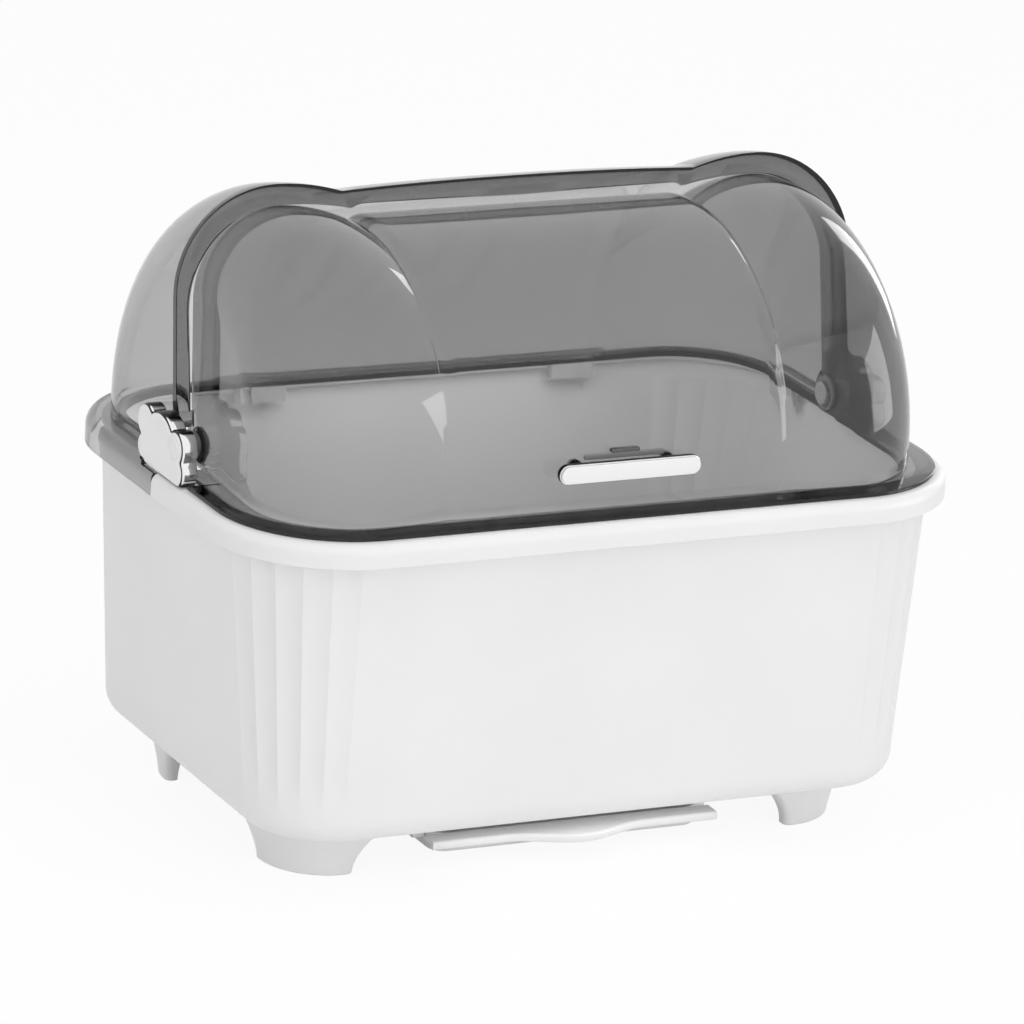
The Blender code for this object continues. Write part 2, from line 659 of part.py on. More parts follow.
def make_hinges(parts, cutters, chrome, white, steel, nylon):
    cap_near = REAR_HALF_WIDTH + GAP
    for side, tag in ((-1, "left"), (1, "right")):
        body = cap_plate("hinge_cap_" + tag, side, cap_near, CAP_THICK, 0.0, parts, chrome, CAP_EDGE)
        face_near = cap_near + CAP_THICK + GAP
        cap_plate(
            "hinge_cap_face_" + tag, side, face_near, CAP_FACE_THICK, -CAP_FACE_INSET, parts, white
        )
        bush_near = FRONT_HINGE_HALF_WIDTH + GAP
        bush_far = REAR_HALF_WIDTH - COVER_WALL - GAP
        start = (side * bush_near, HINGE_Y, HINGE_Z)
        bush = rod("hinge_bush_" + tag, "X", start, side * (bush_far - bush_near), BUSH_R, parts, nylon)
        bore_start = (side * (bush_near - OVERRUN), HINGE_Y, HINGE_Z)
        bore = rod(
            "cut_bush_" + tag, "X", bore_start, side * 3 * OVERRUN, PIN_R + GAP, cutters
        )
        boolean(bush, bore, "DIFFERENCE")
        ear_inner = FRONT_HINGE_HALF_WIDTH - COVER_WALL
        washer_near = ear_inner - GAP - WASHER_THICK
        start = (side * washer_near, HINGE_Y, HINGE_Z)
        washer = rod("hinge_washer_" + tag, "X", start, side * WASHER_THICK, WASHER_R, parts, nylon)
        boolean(washer, bore_copy(bore, "cut_washer_" + tag, -side * 2 * OVERRUN, cutters), "DIFFERENCE")
        head_near = washer_near - GAP - PIN_HEAD_THICK
        start = (side * head_near, HINGE_Y, HINGE_Z)
        pin = rod("hinge_pin_" + tag, "X", start, side * PIN_HEAD_THICK, PIN_HEAD_R, parts, steel)
        shank_start = (side * (head_near + PIN_HEAD_THICK / 2), HINGE_Y, HINGE_Z)
        shank_length = REAR_HALF_WIDTH - head_near - PIN_HEAD_THICK / 2
        shank = rod("join_pin_" + tag, "X", shank_start, side * shank_length, PIN_R, cutters)
        boolean(pin, shank, "UNION")


def bore_copy(bore, name, shift_x, where):
    made = bpy.data.objects.new(name, bore.data)
    made.location = bore.location + Vector((shift_x, 0, 0))
    where.objects.link(made)
    return hide_cutter(made)


def pill(name, half_length, half_height, y_front, thick, z, where, mat, edge=0.0):
    """A plate with round ends that stands in the XZ plane, its front at y_front."""
    bm = bmesh.new()

    def outline(shrink, y):
        radius = half_height - shrink
        found = []
        for sign in (1, -1):
            centre_x = sign * (half_length - half_height)
            for k in range(13):
                turn = sign * math.pi / 2 - math.pi * k / 12
                found.append((centre_x + radius * math.cos(turn), y, z + radius * math.sin(turn)))
        return found

    rings = [outline(0, y_front + thick)]
    if edge:
        rings.append(outline(0, y_front + edge))
        rings.append(outline(edge, y_front))
    else:
        rings.append(outline(0, y_front))
    ring_loft(bm, rings)
    return object_from(bm, name, where, mat, (0, y_front + thick / 2, z))


def make_handle(parts, cutters, chrome, white, steel, tint):
    z = HINGE_Z + HANDLE_ABOVE_HINGE
    wall_y = front_wall_y()
    face_y = wall_y - HANDLE_REACH
    body_y = face_y + HANDLE_FACE_THICK + GAP
    half_length, half_height = HANDLE_LENGTH / 2, HANDLE_HEIGHT / 2
    body_thick = HANDLE_THICK - HANDLE_FACE_THICK
    pill("handle_body", half_length, half_height, body_y, body_thick, z, parts, chrome)
    inset = HANDLE_FACE_INSET
    pill(
        "handle_face", half_length - inset, half_height - inset, face_y, HANDLE_FACE_THICK, z, parts, white
    )
    back_y = body_y + body_thick + GAP
    skin_y = wall_y - GAP
    for side, tag in ((-1, "left"), (1, "right")):
        start = (side * POST_OFFSET, back_y, z)
        post = rod("handle_post_" + tag, "Y", start, skin_y - back_y, POST_R, parts, chrome)
        tapped = (side * POST_OFFSET, (back_y + skin_y) / 2 - GAP, z)
        tap = rod("cut_post_" + tag, "Y", tapped, OVERRUN, SCREW_SHANK_R + GAP, cutters)
        boolean(post, tap, "DIFFERENCE")
        head_y = wall_y + COVER_WALL + 2 * GAP
        start = (side * POST_OFFSET, head_y, z)
        screw = rod("handle_screw_" + tag, "Y", start, SCREW_HEAD_THICK, SCREW_HEAD_R, parts, steel)
        shank_start = (side * POST_OFFSET, (back_y + skin_y) / 2, z)
        shank_length = head_y + SCREW_HEAD_THICK / 2 - shank_start[1]
        shank = rod("join_screw_" + tag, "Y", shank_start, shank_length, SCREW_SHANK_R, cutters)
        boolean(screw, shank, "UNION")
    half = BRIDGE_WIDTH / 2
    box(
        "handle_bridge",
        (-half, back_y, z - BRIDGE_HEIGHT / 2),
        (half, skin_y, z + BRIDGE_HEIGHT / 2),
        parts,
        chrome,
    )


def make_band(parts, cutters, white):
    section = band_profile(BAND_OVERHANG - GAP, BAND_BOTTOM_Z, RIM_TOP_Z)
    band = half_ring("rim_band", rim_outline, section, True, COLLAR_FRONT_Y - GAP, parts, white)
    for side in (-1, 1):
        boolean(band, cap_pocket("cut_cap_band_%d" % (side > 0), side, cutters), "DIFFERENCE")
    return band


def make_clips(parts, white):
    """Clips hang from the collar inside the tub's mouth and press on its wall."""
    top_z = FLANGE_TOP_Z - SKIRT_WALL - GAP
    inner = BAND_OVERHANG + TUB_WALL + LEDGE_WIDTH + GAP
    down = CLIP_HEIGHT
    taper_x = TUB_TAPER_X * down / TUB_HEIGHT
    taper_y = TUB_TAPER_Y * down / TUB_HEIGHT
    for side, tag in ((-1, "left"), (1, "right")):
        y = HALF_DEPTH - inner - taper_y
        half = CLIP_WIDTH / 2
        x = side * CLIP_REAR_X
        box(
            "cover_clip_rear_" + tag,
            (x - half, y - CLIP_THICK, top_z - down),
            (x + half, y, top_z),
            parts,
            white,
        )
        x = HALF_WIDTH - inner - taper_x
        low, high = sorted((side * (x - CLIP_THICK), side * x))
        box(
            "cover_clip_side_" + tag,
            (low, CLIP_SIDE_Y - half, top_z - down),
            (high, CLIP_SIDE_Y + half, top_z),
            parts,
            white,
        )


def foot_outline(spread_out, spread_end, shrink, z):
    """A wall bent round the tub's corner, as points in the quarter where X and Y are positive."""
    outer = FOOT_BEND_R + spread_out - shrink
    inner = FOOT_BEND_R - FOOT_WALL + shrink
    run = FOOT_END + spread_end - shrink
    flat = FOOT_END_R - shrink
    found = [(outer - flat, -run), (outer, flat - run)]
    for k in range(FOOT_STEPS + 1):
        turn = math.pi / 2 * k / FOOT_STEPS
        found.append((outer * math.cos(turn), outer * math.sin(turn)))
    found += [(flat - run, outer), (-run, outer - flat), (-run, inner)]
    for k in range(FOOT_STEPS + 1):
        turn = math.pi / 2 * (1 - k / FOOT_STEPS)
        found.append((inner * math.cos(turn), inner * math.sin(turn)))
    found.append((inner, -run))
    return [(FOOT_BEND_X + x, FOOT_BEND_Y + y, z) for x, y in found]


def make_feet(parts, white):
    """Each foot is a bent wall that spreads from its sole to the tub's floor, most at its two ends."""
    steps = 6
    top = FOOT_HEIGHT - GAP
    rings = [foot_outline(0.0, 0.0, FOOT_EDGE, 0.0)]
    for k in range(steps + 1):
        share = k / steps
        spread_out = FOOT_SPREAD_OUT * share**FOOT_OUT_POWER
        spread_end = FOOT_SPREAD_END * share**FOOT_END_POWER
        rings.append(foot_outline(spread_out, spread_end, 0.0, lerp(FOOT_EDGE, top, share)))
    middle = (FOOT_BEND_R - FOOT_WALL / 2) * math.cos(math.pi / 4)
    for sx, sy, tag in ((-1, -1, "front_left"), (1, -1, "front_right"), (-1, 1, "rear_left"), (1, 1, "rear_right")):
        bm = bmesh.new()
        rows = ring_loft(bm, [[(sx * x, sy * y, z) for x, y, z in ring] for ring in rings], caps=False)
        for row in (rows[0], rows[-1]):
            for k in range(FOOT_STEPS):
                bm.faces.new((row[2 + k], row[3 + k], row[-3 - k], row[-2 - k]))
            bm.faces.new((row[0], row[1], row[2], row[-2], row[-1]))
            bm.faces.new([row[FOOT_STEPS + k] for k in (2, 3, 4, 5, 6)])
        origin = (sx * (FOOT_BEND_X + middle), sy * (FOOT_BEND_Y + middle), 0)
        object_from(bm, "foot_" + tag, parts, white, origin)


def plain_rectangle(half_x, half_y, radius, steps):
    found = []
    for quarter, (sx, sy) in enumerate(((1, 1), (-1, 1), (-1, -1), (1, -1))):
        for k in range(steps + 1):
            turn = math.pi / 2 * (quarter + k / steps)
            found.append(
                (
                    sx * (half_x - radius) + radius * math.cos(turn),
                    sy * (half_y - radius) + radius * math.sin(turn),
                )
            )
    return found


def make_tray(parts, cutters, white):
    """A shallow pan that hangs on two rails by its side edges, with a waved lip for the fingers in front."""
    top_z = FOOT_HEIGHT - RAIL_DROP
    hanger_z = top_z - TRAY_HANGER_THICK
    bottom_z = top_z - TRAY_DEPTH
    middle_y = (TRAY_FRONT_Y + TRAY_BACK_Y) / 2
    half_y = (TRAY_BACK_Y - TRAY_FRONT_Y) / 2
    half_x, radius, wall = TRAY_HALF_WIDTH, TRAY_CORNER_R, TRAY_WALL

    def outline(inset, z):
        flat = plain_rectangle(half_x - inset, half_y - inset, radius - inset, 4)
        return [(x, middle_y + y, z) for x, y in flat]

    rings = [
        outline(wall, bottom_z),
        outline(0, bottom_z + wall),
        outline(0, top_z),
        outline(wall, top_z),
        outline(wall, bottom_z + 2 * wall),
        outline(2 * wall, bottom_z + wall),
    ]
    bm = bmesh.new()
    ring_loft(bm, rings)
    tray = object_from(bm, "drip_tray", parts, white)
    for side in (-1, 1):
        edges = sorted((side * (half_x - wall / 2), side * (half_x + TRAY_HANGER)))
        hanger = box(
            "join_hanger_%d" % (side > 0),
            (edges[0], TRAY_FRONT_Y + radius, hanger_z),
            (edges[1], TRAY_BACK_Y - radius, top_z),
            cutters,
        )
        boolean(tray, hanger, "UNION")
    bm = bmesh.new()
    rings = []
    count = 24
    low_z = top_z - LIP_HEIGHT
    for k in range(count + 1):
        x = lerp(-LIP_HALF_WIDTH, LIP_HALF_WIDTH, k / count)
        reach = LIP_REACH
        if abs(x) < LIP_BULGE_HALF_WIDTH:
            reach += LIP_BULGE * (1 + math.cos(math.pi * x / LIP_BULGE_HALF_WIDTH)) / 2
        front = TRAY_FRONT_Y - reach
        back = TRAY_FRONT_Y + wall / 2
        rings.append(
            [
                (x, back, top_z),
                (x, back, top_z - LIP_WALL),
                (x, front + LIP_WALL, top_z - LIP_WALL),
                (x, front + LIP_WALL, low_z),
                (x, front, low_z),
                (x, front, top_z),
            ]
        )
    ring_loft(bm, rings)
    lip = object_from(bm, "join_lip", cutters)
    boolean(tray, lip, "UNION")
    return tray


def make_rails(parts, white):
    """Two angle rails under the tub's floor carry the tray's side edges."""
    top_z = FOOT_HEIGHT - GAP
    tray_top = FOOT_HEIGHT - RAIL_DROP
    gap = TRAY_TRAVEL_GAP
    outer = TRAY_HALF_WIDTH + TRAY_HANGER + gap
    shelf_top = tray_top - TRAY_HANGER_THICK - GAP
    front_y = TRAY_FRONT_Y + TRAY_CORNER_R
    back_y = TRAY_BACK_Y
    for side, tag in ((-1, "left"), (1, "right")):
        shelf_in = TRAY_HALF_WIDTH + gap
        section = [
            (outer - RAIL_SHELF, top_z),
            (outer + RAIL_THICK, top_z),
            (outer + RAIL_THICK, shelf_top - RAIL_THICK),
            (shelf_in, shelf_top - RAIL_THICK),
            (shelf_in, shelf_top),
            (outer, shelf_top),
            (outer, top_z - RAIL_THICK),
            (outer - RAIL_SHELF, top_z - RAIL_THICK),
        ]
        bm = bmesh.new()
        rings = [[(side * x, y, z) for x, z in section] for y in (front_y, back_y)]
        ring_loft(bm, rings)
        object_from(bm, "tray_rail_" + tag, parts, white)


def make_plate(parts, cutters, grey):
    """The drain plate stands on four legs on the tub's floor, with rows of slots for the water."""
    floor_z = FOOT_HEIGHT + TUB_WALL + GAP
    low_z = floor_z + PLATE_STAND
    high_z = low_z + PLATE_THICK

    def outline(z, extra):
        flat = tub_section(low_z, TUB_WALL + PLATE_CLEARANCE + extra, 8)
        return [(x, y, z) for x, y, _ in flat]

    rail = PLATE_RAIL
    rings = [
        outline(low_z, 0),
        outline(high_z + rail, 0),
        outline(high_z + rail, rail),
        outline(high_z, rail),
    ]
    bm = bmesh.new()
    ring_loft(bm, rings)
    plate = object_from(bm, "drain_plate", parts, grey)
    bm = bmesh.new()
    for column in range(SLOT_COLUMNS):
        x = (column - (SLOT_COLUMNS - 1) / 2) * SLOT_PITCH
        for sign in (-1, 1):
            y = sign * (SLOT_LENGTH / 2 + SLOT_WIDTH / 2)
            made = bmesh.ops.create_cube(bm, size=1)
            size = Matrix.Diagonal((SLOT_WIDTH, SLOT_LENGTH, PLATE_THICK + 2 * OVERRUN, 1))
            move = Matrix.Translation((x, y, (low_z + high_z) / 2))
            bmesh.ops.transform(bm, matrix=move @ size, verts=made["verts"])
    slots = object_from(bm, "cut_slots", cutters)
    boolean(plate, slots, "DIFFERENCE")
    for i, (sx, sy) in enumerate(((-1, -1), (1, -1), (-1, 1), (1, 1))):
        start = (sx * PLATE_LEG_X, sy * PLATE_LEG_Y, floor_z)
        leg = rod("join_leg_%d" % i, "Z", start, PLATE_STAND + PLATE_THICK / 2, PLATE_LEG_R, cutters)
        boolean(plate, leg, "UNION")
    return plate


def main():
    for obj in list(bpy.data.objects):
        bpy.data.objects.remove(obj, do_unlink=True)
    parts = collection("Covered dish drainer")
    cutters = collection("Cutters")
    white = material("White plastic", (0.86, 0.86, 0.86), 0.38)
    face_white = material("White gloss plastic", (0.93, 0.93, 0.93), 0.22)
    smoke = material("Smoke clear plastic", (0.22, 0.22, 0.23), 0.08, alpha=0.45)
    smoke_light = material("Light smoke clear plastic", (0.45, 0.45, 0.46), 0.08, alpha=0.4)
    chrome = material("Chrome", (0.86, 0.86, 0.87), 0.06, metallic=1.0)
    steel = material("Steel", (0.6, 0.6, 0.62), 0.3, metallic=1.0)
    nylon = material("Grey nylon", (0.5, 0.5, 0.5), 0.45)
    make_tub(parts, cutters, white)
    make_band(parts, cutters, white)
    make_feet(parts, white)
    make_plate(parts, cutters, nylon)
    make_tray(parts, cutters, white)
    make_rails(parts, white)
    make_rear_cover(parts, cutters, smoke_light)
    make_clips(parts, nylon)
    make_front_cover(parts, cutters, smoke)
    make_hinges(parts, cutters, chrome, face_white, steel, nylon)
    make_handle(parts, cutters, chrome, face_white, steel, smoke)
    for obj in cutters.objects:
        hide_cutter(obj)


main()
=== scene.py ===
import math

import bmesh
import bpy
from mathutils import Matrix, Vector


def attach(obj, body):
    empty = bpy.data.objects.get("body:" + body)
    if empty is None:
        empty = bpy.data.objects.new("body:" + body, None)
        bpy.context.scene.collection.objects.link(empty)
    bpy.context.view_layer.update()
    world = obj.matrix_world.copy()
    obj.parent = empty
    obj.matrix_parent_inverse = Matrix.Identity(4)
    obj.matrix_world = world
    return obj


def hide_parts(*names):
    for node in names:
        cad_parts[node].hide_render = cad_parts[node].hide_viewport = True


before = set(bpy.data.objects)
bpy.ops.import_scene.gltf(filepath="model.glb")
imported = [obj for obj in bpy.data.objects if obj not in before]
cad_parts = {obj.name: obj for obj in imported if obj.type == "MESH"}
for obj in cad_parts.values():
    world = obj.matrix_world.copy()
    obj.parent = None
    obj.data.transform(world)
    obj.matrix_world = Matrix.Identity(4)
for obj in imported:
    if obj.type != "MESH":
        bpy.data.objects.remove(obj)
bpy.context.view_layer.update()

# Camera, fitted to the photograph
AZIMUTH, ELEVATION, ROLL = (math.radians(v) for v in (-27.187, 17.951, 3.922))
DISTANCE = 4.0
SENSOR = 36
TARGET = Vector((0.0004, 0.0, 0.1592))
FOCAL_SHARE = 7.23

# Sizes of the CAD model, in metres
HALF_WIDTH = 0.215
HALF_DEPTH = 0.145
RIM_CORNER_R = 0.073
BAND_HEIGHT = 0.013
BAND_CROWN = 0.0053
BAND_OVERHANG = 0.0088
FOOT_HEIGHT = 0.0282
TUB_HEIGHT = 0.171
TUB_TAPER_X = 0.0152
TUB_TAPER_Y = 0.0052
TUB_TAPER_R = 0.018
TUB_FILLET = 0.014
TUB_WALL = 0.0026
LEDGE_WIDTH = 0.006
LEDGE_THICK = 0.0022
CROWN_SHARE = 0.45
FLUTE_COUNT = 5
FLUTE_DEPTH = 0.0016
FLUTE_PITCH_DEG = 14.3
FLUTE_FADE_HEIGHT = 0.030
HINGE_Y = -0.003
HINGE_RISE = 0.014
SEAM_LEAN = math.radians(8.7)
COVER_WALL = 0.002
EAR_R = 0.0135
SIDE_FLAT = 0.018
REAR_RADIUS = 0.1355
REAR_HALF_WIDTH = 0.2018
REAR_CREST_X = 0.143
REAR_CORNER_R = 0.058
REAR_VALLEY_X = 0.105
REAR_VALLEY_DROP = 0.006
REAR_MIDDLE_DROP = 0.0037
SEAM_CLEARANCE = 0.0014
FRONT_RADIUS_TOP = 0.1237
FRONT_RADIUS_FOOT = 0.1235
FRONT_HINGE_HALF_WIDTH = 0.190
FRONT_CREST_X = 0.140
FRONT_CORNER_TOP_R = 0.0485
FRONT_CORNER_FOOT_R = 0.0525
FRONT_VALLEY_X = 0.0995
FRONT_VALLEY_DROP_TOP = 0.0105
FRONT_VALLEY_DROP_FOOT = 0.0045
FRONT_MIDDLE_DROP_TOP = 0.0075
FRONT_MIDDLE_DROP_FOOT = 0.003
FRONT_OVERLAP = 0.0065
FLANGE_THICK = 0.0023
FLANGE_INSET = 0.006
FLANGE_WIDTH = 0.0197
COLLAR_INNER_INSET = 0.022
SKIRT_WALL = 0.0025
COLLAR_FRONT_Y = -0.002
PIN_R = 0.0035
GAP = 0.0003
OUTLET_R = 0.011
OVERRUN = 0.010

# Sizes that the CAD model has otherwise or not at all, in metres
SEAM_LIP_THICK = 0.0055
WEB_FOOT_R = 0.0098
WEB_TOP_R = 0.0185
FRONT_CREASE_WIDTH = 0.009
FLANGE_END_Y = -0.035
FLANGE_TAIL = 0.0245
BEAD_WIDTH = 0.0042
BEAD_HEIGHT = 0.0026
BEAD_TOP_SHARE = 0.8
BAND_BEVEL_SHARE = 0.12
TUB_RIM_BEVEL = 0.0005
OUTLET_CUT = 0.03
EAR_LEAD_RADII = (0.0168, 0.0156, 0.0145)
SHELL_LIFT = 0.00002

# Shapes of the covers' edges and valleys
EDGE_BULGE = 0.5
CREASE_RISE = (0.45, 0.8, 0.96, 1.0)
VALLEY_POWER = 2.4

# Steps of the curves
CORNER_LEAD = 4
SIDE_STEPS = 6
DOME_STEPS = 22
HUMP_STEPS = 12
MIDDLE_STEPS = 6
VALLEY_STEPS = 10
RIM_STEPS = 40
BAND_STEPS = 8
EDGE_STEPS = 6
EDGE_ROWS = EDGE_STEPS - 1
SWING_STEPS = 84
REAR_STEPS = 44
WALL_STEPS = 3
EAR_STEPS = 32
EAR_FOOT_STEPS = 6
HOLE_STEPS = 40
BEVEL_STEPS = 4
FLUTE_STEPS = 14
OUTLET_STEPS = 48

# Creases up to this angle in degrees are smoothed over
SHARP_DEG = 32
TUB_SHARP_DEG = 22

TUB_TOP_Z = FOOT_HEIGHT + TUB_HEIGHT
RIM_TOP_Z = TUB_TOP_Z + GAP
HINGE_Z = RIM_TOP_Z + HINGE_RISE
FLANGE_BOTTOM_Z = RIM_TOP_Z + GAP
FLANGE_TOP_Z = FLANGE_BOTTOM_Z + FLANGE_THICK
SHELL_FOOT_Z = FLANGE_TOP_Z + SHELL_LIFT
SEAM_TURN = math.pi / 2 + SEAM_LEAN
BAND_BOTTOM_Z = RIM_TOP_Z - BAND_HEIGHT

SIDES = ((-1, "left"), (1, "right"))
QUARTERS = ((1, 1), (-1, 1), (-1, -1), (1, -1))

scene = bpy.context.scene
cutters = bpy.data.collections.new("cutters")
scene.collection.children.link(cutters)


def add_camera():
    back = Vector(
        (
            math.sin(AZIMUTH) * math.cos(ELEVATION),
            -math.cos(AZIMUTH) * math.cos(ELEVATION),
            math.sin(ELEVATION),
        )
    )
    right = Vector((math.cos(AZIMUTH), math.sin(AZIMUTH), 0))
    up = back.cross(right)
    side = math.cos(ROLL) * right + math.sin(ROLL) * up
    top = math.cos(ROLL) * up - math.sin(ROLL) * right
    data = bpy.data.cameras.new("camera")
    data.sensor_width = SENSOR
    data.lens = SENSOR * FOCAL_SHARE
    data.clip_end = 20
    obj = bpy.data.objects.new("camera", data)
    place = Matrix((side, top, back)).transposed().to_4x4()
    place.translation = TARGET + back * DISTANCE
    obj.matrix_world = place
    scene.collection.objects.link(obj)
    scene.camera = obj


# Materials

NOISE_LOW, NOISE_HIGH = 0.25, 0.75
SHADE_SCALE, SHEEN_SCALE, WAVE_SCALE = 14, 60, 22
METAL_SCALE = 400
SMOKE_SHEEN_SCALE, SMOKE_WAVE_SCALE = 40, 18
WAVE_DEPTH, GRAIN_DEPTH = 0.001, 0.0002
WAVE_STRENGTH, SMOKE_WAVE_STRENGTH = 0.10, 0.08
SMOKE_SHEEN = (0.015, 0.045)
# Where metal's painted dark reflection begins and where it is full, by how far the surface turns from the
# eye
PAINTED_REFLECTION_FROM, PAINTED_REFLECTION_FULL = 0.30, 0.38
SMOKE_IOR = 1.46


def new_material(name):
    mat = bpy.data.materials.new(name)
    mat.use_nodes = True
    return mat, mat.node_tree.nodes, mat.node_tree.links


def noise(nodes, links, scale, detail=3.0, stretch=(1, 1, 1)):
    """A noise in the object's own coordinates, so it stays put on the piece."""
    coords = nodes.new("ShaderNodeTexCoord")
    scaled = nodes.new("ShaderNodeMapping")
    scaled.inputs["Scale"].default_value = stretch
    tex = nodes.new("ShaderNodeTexNoise")
    tex.inputs["Scale"].default_value = scale
    tex.inputs["Detail"].default_value = detail
    links.new(coords.outputs["Object"], scaled.inputs["Vector"])
    links.new(scaled.outputs["Vector"], tex.inputs["Vector"])
    return tex.outputs["Fac"]


def ranged(nodes, links, source, low, high):
    """Spreads the values that a noise mostly has from low to high."""
    node = nodes.new("ShaderNodeMapRange")
    node.inputs["From Min"].default_value = NOISE_LOW
    node.inputs["From Max"].default_value = NOISE_HIGH
    node.inputs["To Min"].default_value = low
    node.inputs["To Max"].default_value = high
    links.new(source, node.inputs["Value"])
    return node.outputs["Result"]


def bump(nodes, links, source, strength, distance, under=None):
    node = nodes.new("ShaderNodeBump")
    node.inputs["Strength"].default_value = strength
    node.inputs["Distance"].default_value = distance
    links.new(source, node.inputs["Height"])
    if under:
        links.new(under, node.inputs["Normal"])
    return node.outputs["Normal"]


def plastic(name, color, dark, low, high, grain, strength):
    """Moulded plastic: a faint drift of shade, a fine mould texture and slow waves from shrinkage."""
    mat, nodes, links = new_material(name)
    shader = nodes["Principled BSDF"]
    mix = nodes.new("ShaderNodeMix")
    mix.data_type = "RGBA"
    mix.inputs["A"].default_value = (*dark, 1)
    mix.inputs["B"].default_value = (*color, 1)
    links.new(ranged(nodes, links, noise(nodes, links, SHADE_SCALE, 2), 0, 1), mix.inputs["Factor"])
    links.new(mix.outputs["Result"], shader.inputs["Base Color"])
    sheen = ranged(nodes, links, noise(nodes, links, SHEEN_SCALE), low, high)
    links.new(sheen, shader.inputs["Roughness"])
    slow = bump(nodes, links, noise(nodes, links, WAVE_SCALE, 1), WAVE_STRENGTH, WAVE_DEPTH)
    fine = bump(nodes, links, noise(nodes, links, grain, 2), strength, GRAIN_DEPTH, slow)
    links.new(fine, shader.inputs["Normal"])
    return mat


def metal(name, color, low, high, stretch, strength, painted_reflection_color=None):
    """Metal. Where it turns away from the eye it can take a darker colour, a painted reflection of a dark
    room.
    """
    mat, nodes, links = new_material(name)
    shader = nodes["Principled BSDF"]
    shader.inputs["Base Color"].default_value = (*color, 1)
    if painted_reflection_color:
        # Painted reflection: the colour darkens where the surface turns away from the eye
        facing = nodes.new("ShaderNodeLayerWeight")
        ramp = nodes.new("ShaderNodeValToRGB")
        first, last = ramp.color_ramp.elements
        first.position, last.position = PAINTED_REFLECTION_FROM, PAINTED_REFLECTION_FULL
        first.color, last.color = (*color, 1), (*painted_reflection_color, 1)
        links.new(facing.outputs["Facing"], ramp.inputs["Fac"])
        links.new(ramp.outputs["Color"], shader.inputs["Base Color"])
    shader.inputs["Metallic"].default_value = 1
    grain = noise(nodes, links, METAL_SCALE, 3, stretch)
    links.new(ranged(nodes, links, grain, low, high), shader.inputs["Roughness"])
    links.new(bump(nodes, links, grain, strength, GRAIN_DEPTH), shader.inputs["Normal"])
    return mat


def smoke(name, tint, density):
    """Clear plastic that a grey dye darkens by thickness. Lamps and soft light pass it unbent."""
    mat, nodes, links = new_material(name)
    shader = nodes["Principled BSDF"]
    shader.inputs["Base Color"].default_value = (tint, tint, tint, 1)
    shader.inputs["Transmission Weight"].default_value = 1
    shader.inputs["IOR"].default_value = SMOKE_IOR
    sheen = ranged(nodes, links, noise(nodes, links, SMOKE_SHEEN_SCALE), *SMOKE_SHEEN)
    links.new(sheen, shader.inputs["Roughness"])
    wave = noise(nodes, links, SMOKE_WAVE_SCALE, 1)
    wave = bump(nodes, links, wave, SMOKE_WAVE_STRENGTH, WAVE_DEPTH)
    links.new(wave, shader.inputs["Normal"])
    clear = nodes.new("ShaderNodeBsdfTransparent")
    path = nodes.new("ShaderNodeLightPath")
    either = nodes.new("ShaderNodeMath")
    either.operation = "MAXIMUM"
    links.new(path.outputs["Is Shadow Ray"], either.inputs[0])
    links.new(path.outputs["Is Diffuse Ray"], either.inputs[1])
    mix = nodes.new("ShaderNodeMixShader")
    links.new(either.outputs[0], mix.inputs["Fac"])
    links.new(shader.outputs[0], mix.inputs[1])
    links.new(clear.outputs[0], mix.inputs[2])
    out = nodes["Material Output"]
    links.new(mix.outputs[0], out.inputs["Surface"])
    dye = nodes.new("ShaderNodeVolumeAbsorption")
    dye.inputs["Color"].default_value = (0, 0, 0, 1)
    dye.inputs["Density"].default_value = density
    links.new(dye.outputs[0], out.inputs["Volume"])
    return mat


# Light

FLOOR_REACH = 3.0
FLOOR_ROWS = 9
FLOOR_GLOW = 0.92


def seen_rays(nodes, links):
    """1 for rays that reach the eye, straight, through clear plastic or by a mirror image."""
    path = nodes.new("ShaderNodeLightPath")
    first = nodes.new("ShaderNodeMath")
    first.operation = "MAXIMUM"
    second = nodes.new("ShaderNodeMath")
    second.operation = "MAXIMUM"
    links.new(path.outputs["Is Camera Ray"], first.inputs[0])
    links.new(path.outputs["Is Transmission Ray"], first.inputs[1])
    links.new(first.outputs[0], second.inputs[0])
    links.new(path.outputs["Is Glossy Ray"], second.inputs[1])
    return second.outputs[0]


def add_world(level):
    """White where it is seen, and a dimmer light on everything else."""
    world = bpy.data.worlds.new("world")
    scene.world = world
    world.use_nodes = True
    nodes, links = world.node_tree.nodes, world.node_tree.links
    nodes.clear()
    out = nodes.new("ShaderNodeOutputWorld")
    mix = nodes.new("ShaderNodeMixShader")
    dim = nodes.new("ShaderNodeBackground")
    dim.inputs["Color"].default_value = (1, 1, 1, 1)
    dim.inputs["Strength"].default_value = level
    white = nodes.new("ShaderNodeBackground")
    white.inputs["Color"].default_value = (1, 1, 1, 1)
    white.inputs["Strength"].default_value = 1.0
    links.new(seen_rays(nodes, links), mix.inputs["Fac"])
    links.new(dim.outputs[0], mix.inputs[1])
    links.new(white.outputs[0], mix.inputs[2])
    links.new(mix.outputs[0], out.inputs["Surface"])


def add_light(name, place, aim, size, power, size_y=None, mirrored=False):
    """A soft panel. It either lights the surfaces or, mirrored, only shows as a highlight."""
    data = bpy.data.lights.new(name, "AREA")
    data.energy = power
    data.shape = "RECTANGLE"
    data.size = size
    data.size_y = size_y or size
    obj = bpy.data.objects.new(name, data)
    obj.location = place
    obj.rotation_euler = (Vector(aim) - Vector(place)).to_track_quat("-Z", "Y").to_euler()
    obj.visible_camera = False
    obj.visible_diffuse = not mirrored
    obj.visible_glossy = mirrored
    obj.visible_transmission = mirrored
    scene.collection.objects.link(obj)


